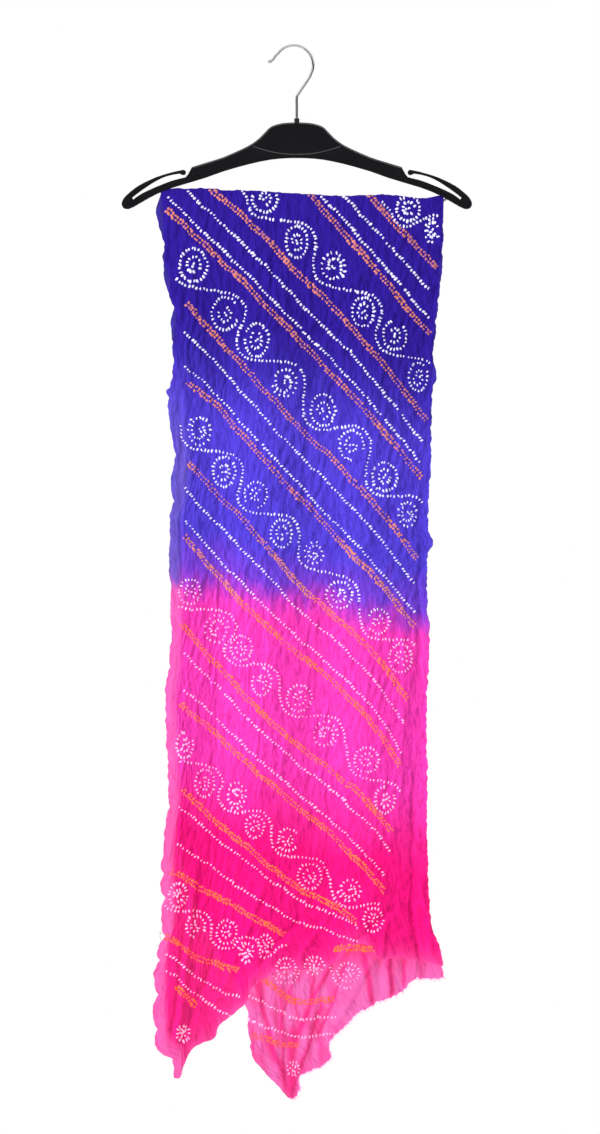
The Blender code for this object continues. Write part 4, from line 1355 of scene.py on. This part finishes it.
def lip_lines(body, finish):
    """Adds thin raised lips to the moulded body, inside its top edge and along its panel, in a lighter
    plastic that is a painted highlight.
    """
    half = smooth_line(TOP_EDGE, 3)
    inner = half - aside_of(unit(np.gradient(half, axis=0))) * LIP_IN
    top = np.vstack((inner[:0:-1] * (-1.0, 1.0), inner))
    bm = bmesh.new()
    bm.from_mesh(body.data)
    first = len(bm.faces)
    for line, radius in ((top, LIP_R), (smooth_line(PANEL_ARC, 4), ARC_R)):
        path = np.stack((line[:, 0] + HANGER_X, np.full(len(line), LIP_Y), line[:, 1]), -1)
        add_tube(bm, path, radius, 6)
    bm.faces.ensure_lookup_table()
    for face in bm.faces[first:]:
        face.material_index = 1
    bm.to_mesh(body.data)
    bm.free()
    body.data.materials.append(finish)


def finish_piece(obj, material, slot, *nodes):
    obj.data.materials.clear()
    obj.data.materials.append(material)
    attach(obj, "root")
    if nodes:
        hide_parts(*nodes)
    return obj


def hem_fibres(points, count, seed, length, reach):
    """Short fibres out of a sheet's hem, each with its place, the way it runs and its size."""
    chance = np.random.default_rng(seed)
    hem, above = points[-1], points[-5]
    share = chance.uniform(0.0, hem.shape[0] - 1.001, count)
    low = share.astype(int)
    part = (share - low)[:, None]
    place = hem[low] * (1 - part) + hem[low + 1] * part
    down = unit(place - above[low])
    way = unit(down + chance.normal(0.0, 0.55, (count, 3)))
    long = chance.gamma(2.2, length / 2.2, count).clip(0.8, reach)
    thick = np.full((count, 2), FIBRE_D / 2)
    middle = place - down * 0.6 + (HANGER_X, 0.0, 0.0)
    side = np.cross(way, (0.0, 1.0, 0.0))
    return np.hstack((middle, way, side, thick, long[:, None]))


def loose_threads(name, routes):
    """Stray threads, each along its own smooth route of (x, y, z) in millimetres."""
    bm = bmesh.new()
    for route in routes:
        add_tube(bm, smooth_line(route, 6) + (HANGER_X, 0.0, 0.0), THREAD_D / 2, 5)
    return mesh_object(name, bm)


def dots_on(points, chart, colour, seed, flip, height, inside):
    """Settled dots of a colour: on the sheet's outer face, and on its inner face where that shows."""
    rows = chart.collect(colour, seed)
    outer = settle(rows, points, flip, height)
    shows = rows[(rows[:, 1] < inside[0]) & (rows[:, 0] < inside[1])]
    return np.vstack((outer, settle(shows, points, not flip, height)))


def tint(name, description, default):
    return FloatVectorProperty(
        name=name, description=description, subtype="COLOR", size=3, min=0.0, max=1.0, default=default
    )


def portion(name, description, default, least=0.0):
    return FloatProperty(
        name=name, description=description, subtype="FACTOR", min=least, max=1.0, default=default
    )


class StoleSettings(bpy.types.PropertyGroup):
    top_violet: tint("Violet at the fold", "Dye of the cloth at the top", (0.025, 0.0095, 0.265))
    bright_blue: tint("Blue-violet", "Dye of the upper half", (0.076, 0.047, 0.58))
    upper_pink: tint("Upper pink", "Dye just below the change of colour", (0.91, 0.046, 0.45))
    hot_pink: tint("Hot pink", "Dye towards the ends", (0.92, 0.007, 0.205))
    # Painted shade in the crinkle: the tint that darkens troughs and fine creases, and how much of it shows
    crease_shade_tint: tint("Trough tint", "What the dye is multiplied by deep in a crinkle", (0.50, 0.22, 0.50))
    crease_shade_depth: portion("Trough depth", "How much of the trough tint shows", 0.18)
    fine_crease_shade: portion("Crease depth", "How much of the trough tint shows in the finest creases", 0.58)
    # Colour of a single thin layer, painted paler and glowing as if light comes through it
    thin_glow_violet: tint("Thin violet", "Dye where a single thin layer lets light through", (0.17, 0.12, 0.60))
    thin_glow_pink: tint("Thin pink", "Dye where a single thin layer lets light through", (1.0, 0.155, 0.52))
    front_cover: portion("Front cover", "Share of light that the front fall stops", 0.99, 0.5)
    back_cover: portion("Back cover", "Share of light that the back fall stops", 0.98, 0.5)
    crinkle: FloatProperty(
        name="Crinkle", description="Strength of the crinkled relief", min=0.0, max=2.0, default=0.72
    )
    fine_wrinkle: FloatProperty(
        name="Fine wrinkle", description="Height of the finest wrinkle and the crepe weave", unit="LENGTH",
        min=0.0, max=0.003, default=0.0009,
    )
    columns: IntProperty(name="Columns", description="Cells across a fall", min=60, max=180, default=176)
    rows: IntProperty(name="Rows", description="Cells down a fall", min=200, max=560, default=545)
    dot_height: FloatProperty(
        name="Dot height", description="How far a tied dot stands up, in millimetres",
        min=0.1, max=2.0, default=0.55,
    )
    white: tint("White dot", "Undyed dots on the violet", (0.84, 0.82, 0.97))
    blush: tint("Blush dot", "Undyed dots on the pink", (0.98, 0.52, 0.78))
    salmon: tint("Salmon dot", "Orange dots on the violet", (0.66, 0.215, 0.13))
    orange: tint("Orange dot", "Orange dots on the pink", (1.0, 0.175, 0.05))
    heart: tint("Dark heart", "Second dye in the heart of each orange cross", (0.07, 0.008, 0.06))
    fringe: BoolProperty(name="Fringe", description="Add the frayed fibres of the hems", default=True)


class HangerSettings(bpy.types.PropertyGroup):
    plastic: tint("Plastic", "Colour of the moulded hanger", (0.0028, 0.0028, 0.0040))
    lip_highlight: tint("Lip", "Colour of the worn lips that catch the light", (0.085, 0.085, 0.09))
    # Lighter colour of the raised lips, a painted highlight where the edges catch the light
    sleeve: tint("Sleeve", "Colour of the sleeve below the hook", (0.004, 0.004, 0.004))
    chrome: tint("Chrome", "Colour of the hook's plating", (0.86, 0.86, 0.87))
    wire: FloatProperty(
        name="Wire", description="Diameter of the hook's wire, in millimetres",
        min=2.0, max=4.0, default=WIRE_D,
    )


def pattern_pieces(name, points, chart, settings, flip, seed, inside, slot):
    """The white dots, the orange dots and the dark hearts of one fall."""
    pieces = []
    for colour, on_blue, on_pink, rim_mix, dull, rise in (
        ("white", settings.white, settings.blush, 0.35, 0.6, 1.0),
        ("orange", settings.salmon, settings.orange, 0.30, 1.0, 1.0),
        ("heart", settings.heart, settings.heart, 0.8, 0.0, 0.4),
    ):
        label = f"{colour}_dots"
        dye = bpy.data.materials.get(label) or dot_finish(label, settings, on_blue, on_pink, rim_mix, dull)
        rows = dots_on(points, chart, colour, seed, flip, settings.dot_height * rise, inside)
        made = raised(f"{name}_{label}", rows, DOT_SIDES, DOT_CROWN, dye)
        pieces.append(finish_piece(made, dye, slot))
        seed += 1
    return pieces


class STOLE_OT_front_fall(bpy.types.Operator):
    """Builds the shorter fall in front, with the fold over the bar and its tied dots"""

    bl_idname = "stole.front_fall"
    bl_label = "Front fall"

    def execute(self, context):
        settings = context.scene.stole
        cloth = cloth_finish("front_georgette", settings, settings.front_cover)
        points, marks, across, along = front_sheet(settings.columns, settings.rows, settings.crinkle)
        sheet = sheet_object("front_cloth_sheet", points, marks, across, along, False)
        finish_piece(sheet, cloth, "front_cloth", "front_fall")
        chart = charted(FRONT_PLAITS, FRONT_SCROLL, FRONT_TAIL, FRONT_ENDS)
        pieces = pattern_pieces("front", points, chart, settings, False, 5, FRONT_INSIDE, "front_cloth")
        if settings.fringe:
            thread = thread_finish("front_thread", settings, settings.thin_glow_pink, 0.6, 0.5)
            rows = hem_fibres(points, *FRONT_FIBRES)
            fibres = raised("front_hem_fibres", rows, FIBRE_SIDES, FIBRE_CROWN, thread)
            pieces.append(finish_piece(fibres, thread, "front_cloth"))
            stray = loose_threads("front_loose_threads", THREADS)
            dark = thread_finish("stray_thread", settings, DARK_FIBRE, 0.9, 0.0)
            pieces.append(finish_piece(stray, dark, "front_cloth"))
        return {"FINISHED"}


class STOLE_OT_back_fall(bpy.types.Operator):
    """Builds the longer fall behind, with its tied dots and frayed hem"""

    bl_idname = "stole.back_fall"
    bl_label = "Back fall"

    def execute(self, context):
        settings = context.scene.stole
        cloth = cloth_finish("back_georgette", settings, settings.back_cover)
        points, marks, across, along = back_sheet(settings.columns - 6, settings.rows, settings.crinkle)
        sheet = sheet_object("back_cloth_sheet", points, marks, across, along, True)
        finish_piece(sheet, cloth, "back_cloth", "back_fall")
        chart = charted(BACK_PLAITS, BACK_SCROLL, BACK_TAIL, ())
        pieces = pattern_pieces("back", points, chart, settings, True, 15, BACK_INSIDE, "back_cloth")
        if settings.fringe:
            thread = thread_finish("back_thread", settings, settings.thin_glow_pink, 0.9, 0.5)
            rows = hem_fibres(points, *BACK_FIBRES)
            fibres = raised("back_hem_fibres", rows, FIBRE_SIDES, FIBRE_CROWN, thread)
            pieces.append(finish_piece(fibres, thread, "back_cloth"))
        return {"FINISHED"}


class STOLE_OT_hanger(bpy.types.Operator):
    """Builds the moulded plastic body of the hanger"""

    bl_idname = "stole.hanger"
    bl_label = "Hanger body"

    def execute(self, context):
        settings = context.scene.hanger
        body = merged_copy("hanger_body", "moulded_hanger")
        black = plastic_finish("black_plastic_grain", settings.plastic)
        finish_piece(body, black, "black_plastic", "hanger_body")
        # The lips are a painted highlight in a lighter plastic
        lip_lines(body, plastic_finish("painted_highlight_lip", settings.lip_highlight))
        return {"FINISHED"}


class STOLE_OT_hook(bpy.types.Operator):
    """Builds the plated wire hook with its ball tip, and the sleeve at its foot"""

    bl_idname = "stole.hook"
    bl_label = "Hook and sleeve"

    def execute(self, context):
        settings = context.scene.hanger
        path, radii = hook_wire(settings.wire)
        hook = tube("wire_hook", path, radii, 28)
        finish_piece(hook, metal_finish("hook_chrome", settings.chrome, 0.06, 0.14), "hook_wire", "hook")
        sleeve = ring_solid("hook_sleeve", SLEEVE, 40)
        finish_piece(sleeve, sleeve_finish(settings.sleeve), "black_sleeve", "hook_collar")
        return {"FINISHED"}


class STOLE_OT_fold_bar(bpy.types.Operator):
    """Gives the wire bar inside the fold its drawn-wire finish"""

    bl_idname = "stole.fold_bar"
    bl_label = "Fold bar"

    def execute(self, context):
        bar = merged_copy("fold_bar", "wire_fold_bar")
        finish_piece(bar, metal_finish("bar_wire_drawn", BAR_STEEL, 0.22, 0.34), "bar_wire", "fold_bar")
        return {"FINISHED"}


class STOLE_OT_stage(bpy.types.Operator):
    """Sets the pale floor, the soft lights, the white surroundings and the camera"""

    bl_idname = "stole.stage"
    bl_label = "Stage"

    def execute(self, context):
        scene = context.scene
        bm = bmesh.new()
        bmesh.ops.create_grid(bm, x_segments=1, y_segments=1, size=FLOOR_HALF)
        bmesh.ops.translate(bm, vec=(0.0, 0.0, FLOOR_Z), verts=bm.verts)
        floor = mesh_object("pale_floor", bm)
        material, tree, shader = principled("pale_floor_paint")
        mottle = node(tree, "ShaderNodeTexNoise", Scale=5.0)
        feed(tree, shader, Base_Color=blend(tree, mottle.outputs[0], *FLOOR_TONES), Roughness=0.9)
        floor.data.materials.append(material)
        for row in LIGHTS:
            soft_lamp(scene, *row)
        scene.world = surroundings()
        camera = bpy.data.cameras.new("front_camera")
        camera.sensor_fit = "VERTICAL"
        camera.sensor_height = SENSOR
        camera.lens = SENSOR * CAMERA_PLACE[1] / -VIEW_HEIGHT
        camera.clip_end = 30.0
        holder = bpy.data.objects.new("front_camera", camera)
        holder.location = CAMERA_PLACE
        holder.rotation_euler = (radians(90), 0.0, 0.0)
        scene.collection.objects.link(holder)
        scene.camera = holder
        scene.view_settings.view_transform = "Standard"
        return {"FINISHED"}


def soft_lamp(scene, name, place, target, size, watts):
    """A round area light that points at its target and casts no hard shadow."""
    lamp = bpy.data.lights.new(name, "AREA")
    lamp.shape = "DISK"
    lamp.size = size
    lamp.energy = watts
    lamp.use_shadow = False
    holder = bpy.data.objects.new(name, lamp)
    holder.visible_glossy = False
    holder.location = place
    holder.rotation_euler = (Vector(target) - Vector(place)).to_track_quat("-Z", "Y").to_euler()
    scene.collection.objects.link(holder)


def surroundings():
    """White all round to look at, soft light from all round, and a studio for gloss, bright above."""
    world = bpy.data.worlds.new("white_surroundings")
    world.use_nodes = True
    tree = world.node_tree
    way = node(tree, "ShaderNodeTexCoord").outputs["Generated"]
    split = node(tree, "ShaderNodeSeparateXYZ", Vector=way)
    across, behind, up = (calc(tree, "ADD", scaled(tree, split.outputs[key], 0.5), 0.5) for key in "XYZ")

    def grey(value, stops):
        return ramp(tree, value, [(at, (tone, tone, tone)) for at, tone in stops])

    def either(share, first, second):
        made = tree.nodes.new("ShaderNodeMixShader")
        for socket, value in zip(made.inputs, (share, first, second)):
            tree.links.new(value, socket)
        return made.outputs[0]

    studio = calc(tree, "MAXIMUM", grey(up, GLOSS_UP), grey(across, GLOSS_ACROSS))
    studio = calc(tree, "MULTIPLY", studio, grey(behind, GLOSS_BEHIND))
    soft = node(tree, "ShaderNodeBackground", Strength=WORLD_LIGHT, Color=grey(across, SOFT_ACROSS))
    gloss = node(tree, "ShaderNodeBackground", Strength=STUDIO_GLOSS, Color=studio)
    seen = feed(tree, tree.nodes["Background"], Color=(1.0, 1.0, 1.0, 1.0))
    path = tree.nodes.new("ShaderNodeLightPath").outputs
    lit = either(path["Is Glossy Ray"], soft.outputs[0], gloss.outputs[0])
    shown = either(path["Is Camera Ray"], lit, seen.outputs[0])
    feed(tree, tree.nodes["World Output"], Surface=shown)
    return world


class STOLE_PT_build(bpy.types.Panel):
    bl_label = "Bandhani stole"
    bl_space_type = "VIEW_3D"
    bl_region_type = "UI"
    bl_category = "Stole"

    def draw(self, context):
        layout = self.layout
        for group in (context.scene.stole, context.scene.hanger):
            box = layout.box()
            for key in group.bl_rna.properties.keys():
                if key not in ("rna_type", "name"):
                    box.prop(group, key)
        for operator in OPERATORS:
            layout.operator(operator.bl_idname)


OPERATORS = (
    STOLE_OT_front_fall,
    STOLE_OT_back_fall,
    STOLE_OT_hanger,
    STOLE_OT_hook,
    STOLE_OT_fold_bar,
    STOLE_OT_stage,
)
CLASSES = (StoleSettings, HangerSettings, *OPERATORS, STOLE_PT_build)


def register():
    for cls in CLASSES:
        bpy.utils.register_class(cls)
    bpy.types.Scene.stole = bpy.props.PointerProperty(type=StoleSettings)
    bpy.types.Scene.hanger = bpy.props.PointerProperty(type=HangerSettings)


def unregister():
    del bpy.types.Scene.hanger
    del bpy.types.Scene.stole
    for cls in reversed(CLASSES):
        bpy.utils.unregister_class(cls)


def main():
    register()
    bpy.ops.stole.front_fall()
    bpy.ops.stole.back_fall()
    bpy.ops.stole.hanger()
    bpy.ops.stole.hook()
    bpy.ops.stole.fold_bar()
    bpy.ops.stole.stage()
    bpy.context.view_layer.update()


if __name__ == "__main__":
    main()
